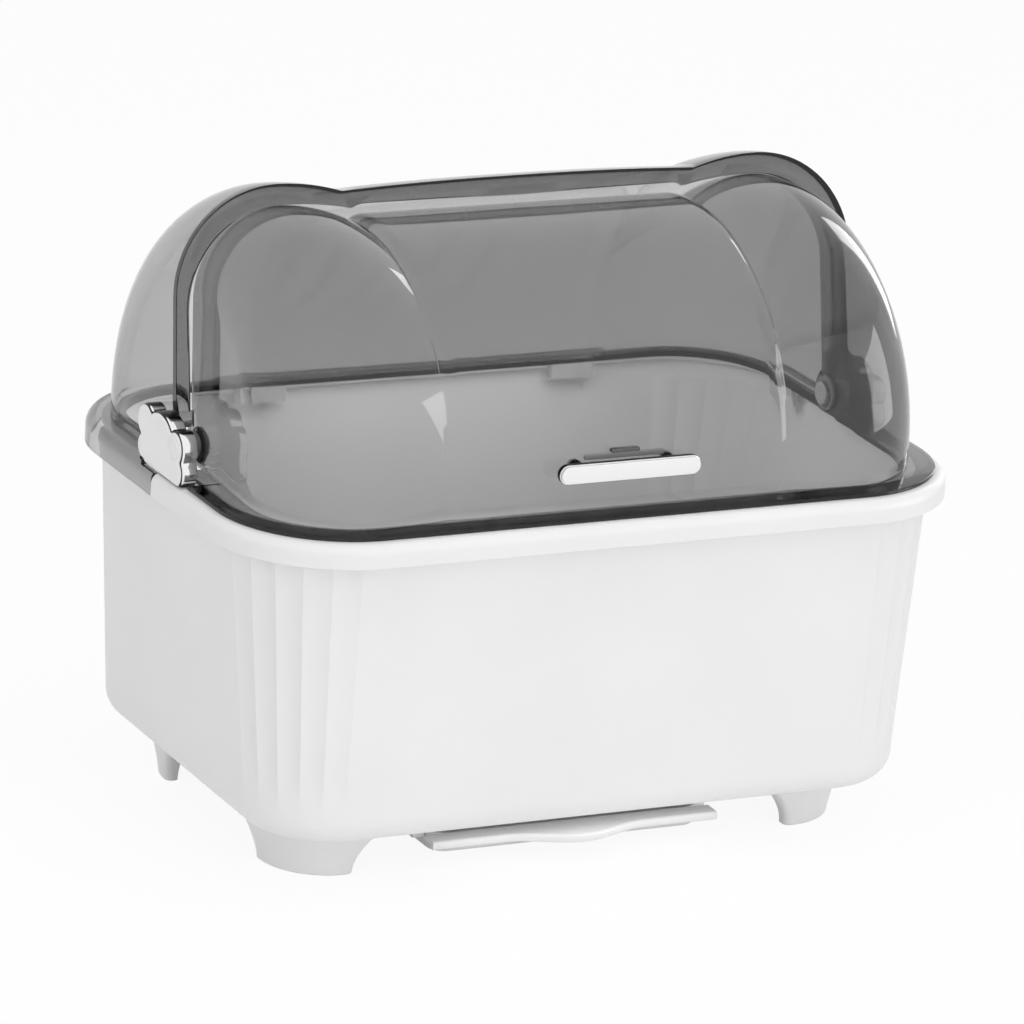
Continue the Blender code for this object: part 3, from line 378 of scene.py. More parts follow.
def add_floor():
    """A pale sheet. What the camera sees of it is mostly white, with the object's soft shadow on it."""
    bm = bmesh.new()
    marks = [FLOOR_REACH * (2 * i / FLOOR_ROWS - 1) for i in range(FLOOR_ROWS + 1)]
    verts = [[bm.verts.new((x, y, 0)) for x in marks] for y in marks]
    for row, after in zip(verts, verts[1:]):
        for i in range(FLOOR_ROWS):
            bm.faces.new((row[i], row[i + 1], after[i + 1], after[i]))
    mesh = bpy.data.meshes.new("floor")
    bm.to_mesh(mesh)
    bm.free()
    obj = bpy.data.objects.new("floor", mesh)
    scene.collection.objects.link(obj)
    mat, nodes, links = new_material("floor")
    shader = nodes["Principled BSDF"]
    shader.inputs["Base Color"].default_value = (0.9, 0.9, 0.9, 1)
    shader.inputs["Roughness"].default_value = 0.9
    shader.inputs["Specular IOR Level"].default_value = 0.1
    glow = nodes.new("ShaderNodeEmission")
    glow.inputs["Color"].default_value = (1, 1, 1, 1)
    share = nodes.new("ShaderNodeMath")
    share.operation = "MULTIPLY"
    share.inputs[1].default_value = FLOOR_GLOW
    mix = nodes.new("ShaderNodeMixShader")
    links.new(seen_rays(nodes, links), share.inputs[0])
    links.new(share.outputs[0], mix.inputs["Fac"])
    links.new(shader.outputs[0], mix.inputs[1])
    links.new(glow.outputs[0], mix.inputs[2])
    links.new(mix.outputs[0], nodes["Material Output"].inputs["Surface"])
    mesh.materials.append(mat)


# Mesh tools


def finish_mesh(bm, name, where=None):
    bmesh.ops.recalc_face_normals(bm, faces=bm.faces)
    mesh = bpy.data.meshes.new(name)
    bm.to_mesh(mesh)
    bm.free()
    obj = bpy.data.objects.new(name, mesh)
    (where or scene.collection).objects.link(obj)
    return obj


def loft(bm, outlines):
    """Skins closed outlines one after the other, and caps both ends."""
    rows = [[bm.verts.new(point) for point in outline] for outline in outlines]
    count = len(rows[0])
    for row, after in zip(rows, rows[1:]):
        for j in range(count):
            k = (j + 1) % count
            bm.faces.new((row[j], row[k], after[k], after[j]))
    bm.faces.new(list(reversed(rows[0])))
    bm.faces.new(rows[-1])


def box(name, low, high):
    bm = bmesh.new()
    bmesh.ops.create_cube(bm, size=1)
    size = Vector(high) - Vector(low)
    middle = (Vector(high) + Vector(low)) / 2
    bm.transform(Matrix.Translation(middle) @ Matrix.Diagonal((*size, 1)))
    return finish_mesh(bm, name, cutters)


def boolean(obj, other, operation):
    """Cuts or joins at once, and drops the other object."""
    mod = obj.modifiers.new("cut", "BOOLEAN")
    mod.operation = operation
    mod.solver = "EXACT"
    mod.object = other
    bpy.context.view_layer.update()
    graph = bpy.context.evaluated_depsgraph_get()
    mesh = bpy.data.meshes.new_from_object(obj.evaluated_get(graph))
    obj.modifiers.clear()
    obj.data = mesh
    bpy.data.objects.remove(other, do_unlink=True)


def settle(obj, body, mat, nodes, angle=SHARP_DEG):
    """Ends a piece: smooth shading with hard edges kept, its material, and what it stands for."""
    obj.data.shade_smooth()
    obj.data.set_sharp_from_angle(angle=math.radians(angle))
    obj.data.materials.clear()
    obj.data.materials.append(mat)
    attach(obj, body)
    if nodes:
        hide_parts(*nodes)


def lerp(a, b, share):
    return a + (b - a) * share


def bevel_turns(steps=BEVEL_STEPS):
    return [math.pi / 2 * k / steps for k in range(steps + 1)]


def rounded_rectangle(half_x, half_y, radius, steps, flute=0.0):
    """An outline with points at the same turns for each radius. The flutes are pressed into the corners."""
    points = []
    pitch = math.radians(FLUTE_PITCH_DEG)
    first = math.pi / 4 - pitch * FLUTE_COUNT / 2
    for quarter, (sx, sy) in enumerate(QUARTERS):
        centre_x, centre_y = sx * (half_x - radius), sy * (half_y - radius)
        turns = [first * k / CORNER_LEAD for k in range(CORNER_LEAD)]
        turns += [first + pitch * FLUTE_COUNT * k / steps for k in range(steps + 1)]
        turns += [math.pi / 2 - turn for turn in reversed(turns[:CORNER_LEAD])]
        for turn in turns:
            along = (turn - first) / pitch
            inside = 0 <= along <= FLUTE_COUNT
            share = 4 * (along % 1) * (1 - along % 1) if inside else 0
            reach = radius - flute * share
            angle = turn + quarter * math.pi / 2
            points.append((centre_x + reach * math.cos(angle), centre_y + reach * math.sin(angle)))
    return points


def rim_outline(inset):
    return rounded_rectangle(HALF_WIDTH - inset, HALF_DEPTH - inset, RIM_CORNER_R - inset, RIM_STEPS)


def half_ring(name, section, front, y_end, where=None):
    """Carries a section of (inset, z) along the front or the back half of the rim, up to y_end."""
    outlines = [rim_outline(inset) for inset, _ in section]
    side = -1 if front else 1
    order = [i for i, point in enumerate(outlines[0]) if side * point[1] > 0]
    paths = []
    for (_, z), outline in zip(section, outlines):
        line = [outline[i] for i in order]
        paths.append([(x, y, z) for x, y in [(line[0][0], y_end), *line, (line[-1][0], y_end)]])
    bm = bmesh.new()
    loft(bm, [[path[i] for path in paths] for i in range(len(paths[0]))])
    return finish_mesh(bm, name, where)


def arc(centre_x, centre_y, radius, start, end, steps):
    """Points of an arc between two angles in degrees."""
    found = []
    for k in range(steps + 1):
        turn = math.radians(lerp(start, end, k / steps))
        found.append((centre_x + radius * math.cos(turn), centre_y + radius * math.sin(turn)))
    return found


# Covers


def half_profile(side_x, crest_x, corner, radius, valley_x, valley_drop, middle_drop, crease):
    """From the hinge up to the middle, as (x, height over the hinge axis)."""
    points = [(side_x, 0.0), (side_x, SIDE_FLAT)]
    start = (crest_x + corner, radius - corner)
    for k in range(1, SIDE_STEPS):
        share = k / SIDE_STEPS
        points.append((lerp(side_x, start[0], share), lerp(SIDE_FLAT, start[1], share)))
    points += arc(crest_x, radius - corner, corner, 0, 90, DOME_STEPS)
    run = crest_x - valley_x
    bend = (run * run + valley_drop * valley_drop) / (2 * valley_drop)
    for k in range(1, HUMP_STEPS + 1):
        step = run * k / HUMP_STEPS
        points.append((crest_x - step, radius - bend + math.sqrt(bend * bend - step * step)))
    middle, valley = radius - middle_drop, radius - valley_drop
    if crease:
        for k, share in enumerate(CREASE_RISE):
            points.append((valley_x - crease * (k + 1) / len(CREASE_RISE), lerp(valley, middle, share)))
        rest = valley_x - crease
        points += [(rest * (1 - k / MIDDLE_STEPS), middle) for k in range(1, MIDDLE_STEPS + 1)]
    else:
        for k in range(1, VALLEY_STEPS + 1):
            left = 1 - k / VALLEY_STEPS
            points.append((valley_x * left, lerp(valley, middle, 1 - left**VALLEY_POWER)))
    return points


def rear_profile(_turn, inset=0.0):
    """The rear cover's outline, which is the same at each turn."""
    return half_profile(
        REAR_HALF_WIDTH - inset,
        REAR_CREST_X,
        REAR_CORNER_R - inset,
        REAR_RADIUS - inset,
        REAR_VALLEY_X,
        REAR_VALLEY_DROP,
        REAR_MIDDLE_DROP,
        0,
    )


def front_profile(turn, inset=0.0):
    """The front cover's outline at a turn about the hinge axis, 0 at the foot and 90 degrees on top."""
    share = min(max(turn / (math.pi / 2), 0.0), 1.0)
    share = share * share * (3 - 2 * share)
    return half_profile(
        FRONT_HINGE_HALF_WIDTH - inset,
        FRONT_CREST_X,
        lerp(FRONT_CORNER_FOOT_R, FRONT_CORNER_TOP_R, share) - inset,
        lerp(FRONT_RADIUS_FOOT, FRONT_RADIUS_TOP, share) - inset,
        FRONT_VALLEY_X,
        lerp(FRONT_VALLEY_DROP_FOOT, FRONT_VALLEY_DROP_TOP, share),
        lerp(FRONT_MIDDLE_DROP_FOOT, FRONT_MIDDLE_DROP_TOP, share),
        FRONT_CREASE_WIDTH,
    )


def seam_opening(_turn):
    """The rear cover's mouth, which leaves room for the front cover to swing through."""
    room = SEAM_CLEARANCE
    return half_profile(
        FRONT_CREST_X + FRONT_CORNER_FOOT_R + room,
        FRONT_CREST_X,
        FRONT_CORNER_FOOT_R + room,
        FRONT_RADIUS_TOP + room,
        FRONT_VALLEY_X,
        FRONT_VALLEY_DROP_FOOT,
        FRONT_MIDDLE_DROP_FOOT,
        FRONT_CREASE_WIDTH,
    )


def band_profile(inner_inset, bottom_z, top_z, wall=None):
    """The band's section as (inset, z): solid, or with a wall a hollow one with a bead inside."""
    rise = (top_z - bottom_z) * CROWN_SHARE
    side = top_z - rise
    bevel = BAND_CROWN * BAND_BEVEL_SHARE
    outer = [(bevel, bottom_z), (0, bottom_z + bevel), (0, side)]
    for turn in bevel_turns(BAND_STEPS)[1:]:
        outer.append((BAND_CROWN * (1 - math.cos(turn)), top_z - rise * (1 - math.sin(turn))))
    if wall is None:
        return outer + [(inner_inset, top_z), (inner_inset, bottom_z)]
    half = wall / 2
    inner = [(wall, bottom_z), (wall, side - half)]
    for turn in bevel_turns(BAND_STEPS)[1:]:
        inset = wall + (BAND_CROWN - half) * (1 - math.cos(turn))
        inner.append((inset, top_z - wall - (rise - half) * (1 - math.sin(turn))))
    bead_z = top_z + BEAD_HEIGHT
    bead = [(inner_inset - BEAD_WIDTH, top_z), (inner_inset - BEAD_WIDTH * BEAD_TOP_SHARE, bead_z)]
    bead += [(inner_inset, bead_z), (inner_inset, top_z - wall)]
    return outer + bead + inner[::-1]


def whole_profile(half):
    """Both sides of a half profile from where it leaves the flat by the hinge, left to right."""
    return [(-x, h) for x, h in half[1:]] + [(x, h) for x, h in reversed(half[1:-1])]


def swept(profile_at, turn_at):
    """One row of the cover: each point of the outline at its own turn about the hinge axis."""
    row = []
    for j, (_, h) in enumerate(whole_profile(profile_at(SEAM_TURN))):
        turn = turn_at(h)
        x, h = whole_profile(profile_at(turn))[j]
        row.append((x, HINGE_Y - h * math.cos(turn), HINGE_Z + h * math.sin(turn)))
    return row


def dropped(profile_at, turn, z):
    """A row of the straight wall under the hinge axis, at the front or the back."""
    side = -math.cos(turn)
    return [(x, HINGE_Y + h * side, z) for x, h in whole_profile(profile_at(turn))]


def rounded_edge(outer, inner, along):
    """Rows between two rows of one edge, bulging along the direction that each point is given."""
    rows = []
    for k in range(1, EDGE_STEPS):
        roll = math.pi * k / EDGE_STEPS
        row = []
        for a, b, d in zip(outer, inner, along):
            a, b, d = Vector(a), Vector(b), Vector(d)
            middle, half = (a + b) / 2, (a - b) / 2
            push = d * half.length * EDGE_BULGE * math.sin(roll)
            row.append(tuple(middle + half * math.cos(roll) + push))
        rows.append(row)
    return rows


def directions(near, far):
    return [(Vector(b) - Vector(a)).normalized() for a, b in zip(near, far)]


def side_flat(bm, side_x, inner_x, outer_edge, inner_edge, start, end, path):
    """Closes the flat wall by the hinge: two plates with the pin's hole, and a rim along the path."""
    middle, half = (side_x + inner_x) / 2, (side_x - inner_x) / 2
    sections = [start]
    for k, (y, z) in enumerate(path):
        before = path[k - 1] if k else (start[0].co.y, start[0].co.z)
        after = path[k + 1] if k + 1 < len(path) else (end[0].co.y, end[0].co.z)
        normal = Vector((0, after[1] - before[1], before[0] - after[0])).normalized()
        if normal.dot(Vector((0, y - HINGE_Y, z - HINGE_Z))) < 0:
            normal = -normal
        row = []
        for i in range(len(start)):
            roll = math.pi * i / (len(start) - 1)
            push = normal * abs(half) * EDGE_BULGE * math.sin(roll)
            row.append(bm.verts.new((middle + half * math.cos(roll), y + push.y, z + push.z)))
        sections.append(row)
    sections.append(end)
    for row, after in zip(sections, sections[1:]):
        for i in range(len(row) - 1):
            bm.faces.new((row[i], row[i + 1], after[i + 1], after[i]))
    holes = []
    for x in (side_x, inner_x):
        turns = [2 * math.pi * k / HOLE_STEPS for k in range(HOLE_STEPS)]
        reach = PIN_R + GAP
        places = [(HINGE_Y + reach * math.cos(turn), HINGE_Z + reach * math.sin(turn)) for turn in turns]
        holes.append([bm.verts.new((x, y, z)) for y, z in places])
    for k in range(HOLE_STEPS):
        i = (k + 1) % HOLE_STEPS
        bm.faces.new((holes[0][k], holes[0][i], holes[1][i], holes[1][k]))
    for hole, edge, pick in ((holes[0], outer_edge, 0), (holes[1], inner_edge, -1)):
        loop = edge + [section[pick] for section in sections[1:-1]]
        edges = []
        for around in (loop, hole):
            for a, b in zip(around, around[1:] + around[:1]):
                edges.append(bm.edges.get((a, b)) or bm.edges.new((a, b)))
        bmesh.ops.triangle_fill(bm, use_beauty=True, use_dissolve=False, edges=edges)


def skin(bm, rows):
    """Skins rows into a tube that closes on its first row. Returns the rows' vertices."""
    made = [[bm.verts.new(point) for point in row] for row in rows]
    for row, after in zip(made, made[1:] + made[:1]):
        for j in range(len(row) - 1):
            bm.faces.new((row[j], row[j + 1], after[j + 1], after[j]))
    return made


def ear_path(lead_turns, start_turn, end_turn, last_y):
    """As (y, z): down the lead radii, along the ear's circle and out along the foot."""
    path = [polar(turn, radius) for turn, radius in zip(lead_turns, EAR_LEAD_RADII)]
    path += [polar(lerp(start_turn, end_turn, k / EAR_STEPS), EAR_R) for k in range(EAR_STEPS + 1)]
    y = path[-1][0]
    path += [(lerp(y, last_y, k / EAR_FOOT_STEPS), SHELL_FOOT_Z) for k in range(1, EAR_FOOT_STEPS)]
    return path


def polar(turn, radius):
    """As (y, z), at a turn about the hinge axis that starts at the front and goes up."""
    return (HINGE_Y - radius * math.cos(turn), HINGE_Z + radius * math.sin(turn))


def make_front_cover(mat):
    """The shell swings inside the rear one, so its edge runs on behind the seam."""

    def edge_turn(h):
        return SEAM_TURN + math.asin(FRONT_OVERLAP / h)

    def wall(inset):
        def at(turn):
            return front_profile(turn, inset)

        rows = [dropped(at, 0, lerp(SHELL_FOOT_Z, HINGE_Z, k / WALL_STEPS)) for k in range(WALL_STEPS)]
        for k in range(SWING_STEPS + 1):
            rows.append(swept(at, lambda h: edge_turn(h) * k / SWING_STEPS))
        return rows

    outer, inner = wall(0.0), wall(COVER_WALL)
    for row, other in zip(outer, inner):
        for j in (0, -1):
            other[j] = (math.copysign(FRONT_HINGE_HALF_WIDTH - COVER_WALL, other[j][0]), *row[j][1:])
    top = rounded_edge(outer[-1], inner[-1], directions(outer[-2], outer[-1]))
    foot = rounded_edge(inner[0], outer[0], [(0, 0, -1)] * len(outer[0]))
    bm = bmesh.new()
    made = skin(bm, outer + top + inner[::-1] + foot)
    count = len(outer)
    sink = math.asin((HINGE_Z - SHELL_FOOT_Z) / EAR_R)
    lead = [edge_turn(radius) for radius in EAR_LEAD_RADII]
    path = ear_path(lead, edge_turn(EAR_R), math.pi + sink, HINGE_Y - SIDE_FLAT)
    for j, side in ((0, -1), (-1, 1)):
        column = [row[j] for row in made]
        side_flat(
            bm,
            side * FRONT_HINGE_HALF_WIDTH,
            side * (FRONT_HINGE_HALF_WIDTH - COVER_WALL),
            column[:count],
            column[count + EDGE_ROWS : 2 * count + EDGE_ROWS][::-1],
            column[count - 1 : count + EDGE_STEPS],
            [column[0]] + column[-EDGE_ROWS:][::-1] + [column[2 * count + EDGE_ROWS - 1]],
            path,
        )
    shell = finish_mesh(bm, "front_cover_shell")
    middle, half = (FLANGE_BOTTOM_Z + FLANGE_TOP_Z) / 2, FLANGE_THICK / 2
    section = [(FLANGE_INSET + half * (1 - c), middle - half * s) for c, s in arc(0, 0, 1, 90, -90, 8)]
    section += [(FLANGE_INSET + FLANGE_WIDTH, z) for z in (FLANGE_TOP_Z, FLANGE_BOTTOM_Z)]
    join(shell, half_ring("flange", section, True, FLANGE_END_Y, cutters))
    outer_x = REAR_HALF_WIDTH - COVER_WALL - 2 * GAP
    for side, _ in SIDES:
        near, far = sorted((side * FRONT_HINGE_HALF_WIDTH, side * outer_x))
        low = (near, FLANGE_END_Y, FLANGE_BOTTOM_Z)
        join(shell, box("flange_tail", low, (far, FLANGE_END_Y + FLANGE_TAIL, FLANGE_TOP_Z)))
    settle(shell, "front_cover", mat, ["front_cover"])


def make_rear_cover(mat):
    """The shell, its lip at the seam, and the collar with the skirt that hangs over the rim."""

    def wall(inset, start_turn):
        def at(turn):
            return rear_profile(turn, inset)

        rows = []
        for k in range(REAR_STEPS + 1):
            rows.append(swept(at, lambda h: lerp(start_turn(h), math.pi, k / REAR_STEPS)))
        for k in range(1, WALL_STEPS + 1):
            rows.append(dropped(at, math.pi, lerp(HINGE_Z, SHELL_FOOT_Z, k / WALL_STEPS)))
        return rows

    def seam(_):
        return SEAM_TURN

    def behind(h):
        return SEAM_TURN + math.asin(SEAM_LIP_THICK / h)

    outer, inner = wall(0.0, seam), wall(COVER_WALL, behind)
    front = swept(lambda turn: rear_profile(turn, COVER_WALL), seam)
    mouth, mouth_back = swept(seam_opening, seam), swept(seam_opening, behind)
    for row, other in zip(outer[1:] + [outer[0]], inner[1:] + [front]):
        for j in (0, -1):
            other[j] = (math.copysign(REAR_HALF_WIDTH - COVER_WALL, other[j][0]), *row[j][1:])
    foot = rounded_edge(outer[-1], inner[-1], [(0, 0, -1)] * len(outer[0]))
    rim = rounded_edge(mouth_back, mouth, directions(front, mouth))
    bm = bmesh.new()
    made = skin(bm, outer + foot + inner[::-1] + [mouth_back] + rim + [mouth, front])
    count = len(outer)
    sink = math.asin((HINGE_Z - SHELL_FOOT_Z) / EAR_R)
    path = ear_path([SEAM_TURN] * len(EAR_LEAD_RADII), SEAM_TURN, -sink, HINGE_Y + SIDE_FLAT)
    for j, side in ((0, -1), (-1, 1)):
        column = [row[j] for row in made]
        inner_edge = column[count + EDGE_ROWS : 2 * count + EDGE_ROWS]
        outer_v, inner_v = column[0], column[-1]
        middle, half = (outer_v.co + inner_v.co) / 2, (outer_v.co - inner_v.co) / 2
        start = [outer_v]
        for k in range(1, EDGE_STEPS):
            start.append(bm.verts.new(middle + half * math.cos(math.pi * k / EDGE_STEPS)))
        start.append(inner_v)
        bm.faces.new(start)
        bm.faces.new([inner_edge[-1]] + column[2 * count + EDGE_ROWS :])
        side_flat(
            bm,
            side * REAR_HALF_WIDTH,
            side * (REAR_HALF_WIDTH - COVER_WALL),
            column[:count][::-1],
            inner_edge + [inner_v],
            start,
            column[count - 1 : count + EDGE_STEPS],
            path,
        )
    shell = finish_mesh(bm, "rear_cover_shell")
    section = band_profile(COLLAR_INNER_INSET, BAND_BOTTOM_Z, FLANGE_TOP_Z, SKIRT_WALL)
    collar = half_ring("collar", section, False, COLLAR_FRONT_Y, cutters)
    cut_cap_pockets(collar)
    join(shell, collar)
    for side, _ in SIDES:
        join(shell, seam_web(side))
    settle(shell, "cover_unit", mat, ["rear_cover"])


def seam_web(side):
    """Carries the lip on from its end down to the ear, at one side."""
    near, far = FRONT_HINGE_HALF_WIDTH + SEAM_CLEARANCE, REAR_HALF_WIDTH - COVER_WALL / 2
    back = SEAM_TURN + math.asin(SEAM_LIP_THICK / WEB_TOP_R)
    corners = [polar(SEAM_TURN, r) for r in (WEB_FOOT_R, WEB_TOP_R)]
    corners += [polar(back, r) for r in (WEB_TOP_R, WEB_FOOT_R)]
    bm = bmesh.new()
    loft(bm, [[(side * x, y, z) for y, z in corners] for x in (near, far)])
    return finish_mesh(bm, "seam_web", cutters)


def cut_cap_pockets(obj):
    """Makes room at both ends for the hinge caps."""
    for side, _ in SIDES:
        pocket = cap_plate("pocket", side, REAR_HALF_WIDTH + GAP / 2, 2 * OVERRUN, GAP, 0, cutters)
        boolean(obj, pocket, "DIFFERENCE")


def join(obj, other):
    """Puts the other object's mesh into this one as it is, and drops the other."""
    bm = bmesh.new()
    bm.from_mesh(obj.data)
    bm.from_mesh(other.data)
    bm.to_mesh(obj.data)
    bm.free()
    bpy.data.objects.remove(other, do_unlink=True)


def front_wall_y():
    """Where the front cover's middle panel stands at the handle's height."""
    turn = math.asin((HANDLE_Z - HINGE_Z) / FRONT_RADIUS_FOOT)
    return HINGE_Y - front_profile(turn)[-1][1] * math.cos(turn)


# Hinge caps

# Each lobe as (y, z, radius), the middle one first
LOBES = (
    (HINGE_Y + 0.001, HINGE_Z - 0.0015, 0.0205),
    (HINGE_Y + 0.0195, HINGE_Z + 0.009, 0.0095),
    (HINGE_Y - 0.0195, HINGE_Z + 0.0055, 0.0095),
    (HINGE_Y - 0.0215, HINGE_Z - 0.007, 0.0085),
    (HINGE_Y + 0.0200, HINGE_Z - 0.0050, 0.0075),
)
CAP_STEPS = 180
CAP_NEAR = REAR_HALF_WIDTH + GAP
CAP_THICK = 0.0086
CAP_BEVEL = 0.0012
FACE_THICK = 0.0013
FACE_INSET = 0.0009
RING_R = 0.0058
RING_WIRE_R = 0.0008
RING_RISE_SHARE = 0.8
RING_TURNS, RING_ROLLS = 48, 12


def cap_outline(grow):
    """The lobes' joint outline as (y, z), smoothed where they meet and cut flat at the rim."""
    centre_y, centre_z, _ = LOBES[0]
    turns = [2 * math.pi * k / CAP_STEPS for k in range(CAP_STEPS)]
    reaches = []
    for turn in turns:
        dy, dz = math.cos(turn), math.sin(turn)
        reach = 0.0
        for y, z, radius in LOBES:
            oy, oz = y - centre_y, z - centre_z
            along = oy * dy + oz * dz
            off = oy * oy + oz * oz - along * along
            if off < (radius + grow) ** 2:
                reach = max(reach, along + math.sqrt((radius + grow) ** 2 - off))
        reaches.append(reach)
    found = []
    for k, turn in enumerate(turns):
        reach = (reaches[k - 1] + reaches[k] + reaches[(k + 1) % CAP_STEPS]) / 3
        dy, dz = math.cos(turn), math.sin(turn)
        if dz < 0:
            reach = min(reach, (RIM_TOP_Z - grow - centre_z) / dz)
        found.append((centre_y + reach * dy, centre_z + reach * dz))
    return found


def cap_plate(name, side, near, thick, grow, edge, where=None):
    """A plate in the cap's outline, rounded by edge on its outer side."""
    far = near + thick
    levels = [(near, grow), (far, grow)]
    if edge:
        levels = [(near, grow - edge / 2), (near + edge / 2, grow)]
        for turn in bevel_turns():
            levels.append((far - edge * (1 - math.sin(turn)), grow - edge * (1 - math.cos(turn))))
    bm = bmesh.new()
    loft(bm, [[(side * x, y, z) for y, z in cap_outline(size)] for x, size in levels])
    return finish_mesh(bm, name, where)


def ring(name, side, x, y, z):
    """A raised ring on the cap's face."""
    bm = bmesh.new()
    rows = []
    for k in range(RING_TURNS):
        turn = 2 * math.pi * k / RING_TURNS
        row = []
        for j in range(RING_ROLLS):
            roll = 2 * math.pi * j / RING_ROLLS
            reach = RING_R + RING_WIRE_R * math.cos(roll)
            far = side * (x + RING_WIRE_R * RING_RISE_SHARE * math.sin(roll))
            row.append(bm.verts.new((far, y + reach * math.cos(turn), z + reach * math.sin(turn))))
        rows.append(row)
    for row, after in zip(rows, rows[1:] + rows[:1]):
        for j in range(RING_ROLLS):
            i = (j + 1) % RING_ROLLS
            bm.faces.new((row[j], row[i], after[i], after[j]))
    return finish_mesh(bm, name)


def make_caps(chrome, white):
    for side, tag in SIDES:
        body = cap_plate("cap_body_" + tag, side, CAP_NEAR, CAP_THICK, 0.0, CAP_BEVEL)
        settle(body, "cover_unit", chrome, ["hinge_cap_" + tag])
        near = CAP_NEAR + CAP_THICK + GAP
        face = cap_plate("cap_face_" + tag, side, near, FACE_THICK, -FACE_INSET, FACE_INSET)
        settle(face, "cover_unit", white, ["hinge_cap_face_" + tag])
        y, z, _ = LOBES[2]
        band = ring("cap_ring_" + tag, side, near + FACE_THICK, y, z)
        settle(band, "cover_unit", white, [])


# Handle

HANDLE_Z = HINGE_Z + 0.0115
HANDLE_HALF_LENGTH = 0.0414
HANDLE_HALF_HEIGHT = 0.0054
HANDLE_REACH = 0.0118
HANDLE_THICK = 0.0058
HANDLE_BEVEL = 0.0018
HANDLE_FRONT_BEVEL = 0.0004
HANDLE_FACE = 0.0012
HANDLE_FACE_INSET = 0.0007
HANDLE_FACE_BEVEL = 0.0006
HANDLE_FACE_BACK_BEVEL = 0.0002
PILL_STEPS = 28

# The bar and the block on the cover behind the handle, as half length, half height, thickness, rise
BACKING_BAR = (0.0235, 0.0014, 0.0018, 0.0006)
BACKING_BLOCK = (0.0085, 0.0012, 0.0026, 0.0034)
BACKING_BEVEL = 0.0003
BACKING_GAP = 0.0004


def pill(name, half_length, half_height, y_front, thick, front_edge, back_edge, z=HANDLE_Z):
    """A bar with round ends, rounded by its own amount at the front and at the back."""

    def outline(shrink, y):
        radius = half_height - shrink
        found = []
        for sign in (1, -1):
            centre_x = sign * (half_length - half_height)
            for k in range(PILL_STEPS + 1):
                turn = sign * math.pi / 2 - math.pi * k / PILL_STEPS
                found.append((centre_x + radius * math.cos(turn), y, z + radius * math.sin(turn)))
        return found

    y_back = y_front + thick
    bm = bmesh.new()
    rows = [
        outline(back_edge * (1 - math.sin(turn)), y_back - back_edge * (1 - math.cos(turn)))
        for turn in bevel_turns()
    ]
    rows += [
        outline(front_edge * (1 - math.cos(turn)), y_front + front_edge * (1 - math.sin(turn)))
        for turn in bevel_turns()
    ]
    loft(bm, rows)
    return finish_mesh(bm, name)


def make_handle(chrome, white, dark, clear):
    half_length, half_height = HANDLE_HALF_LENGTH, HANDLE_HALF_HEIGHT
    face_y = front_wall_y() - HANDLE_REACH
    body_y, thick = face_y + HANDLE_FACE + GAP, HANDLE_THICK - HANDLE_FACE
    body = pill("handle_bar", half_length, half_height, body_y, thick, HANDLE_FRONT_BEVEL, HANDLE_BEVEL)
    settle(body, "front_cover", chrome, ["handle_body"])
    face = pill(
        "handle_front",
        half_length - HANDLE_FACE_INSET,
        half_height - HANDLE_FACE_INSET,
        face_y,
        HANDLE_FACE,
        HANDLE_FACE_BEVEL,
        HANDLE_FACE_BACK_BEVEL,
    )
    settle(face, "front_cover", white, ["handle_face"])
    for name, sizes, mat, slot in (
        ("handle_backing", BACKING_BAR, dark, "grey_nylon"),
        ("handle_backing_block", BACKING_BLOCK, clear, "smoke"),
    ):
        length, height, thick, rise = sizes
        z = HANDLE_Z + half_height + rise
        y = front_wall_y() - BACKING_GAP - thick
        backing = pill(name, length, height, y, thick, BACKING_BEVEL, BACKING_BEVEL, z)
        settle(backing, "front_cover", mat, [])


# Tub, band, feet and tray

TUB_CORNER_STEPS = FLUTE_COUNT * FLUTE_STEPS


def tub_section(z, inset, flute=0.0):
    down = (TUB_TOP_Z - z) / TUB_HEIGHT
    half_x = HALF_WIDTH - BAND_OVERHANG - TUB_TAPER_X * down - inset
    half_y = HALF_DEPTH - BAND_OVERHANG - TUB_TAPER_Y * down - inset
    radius = RIM_CORNER_R - BAND_OVERHANG - TUB_TAPER_R * down - inset
    return [(x, y, z) for x, y in rounded_rectangle(half_x, half_y, radius, TUB_CORNER_STEPS, flute)]


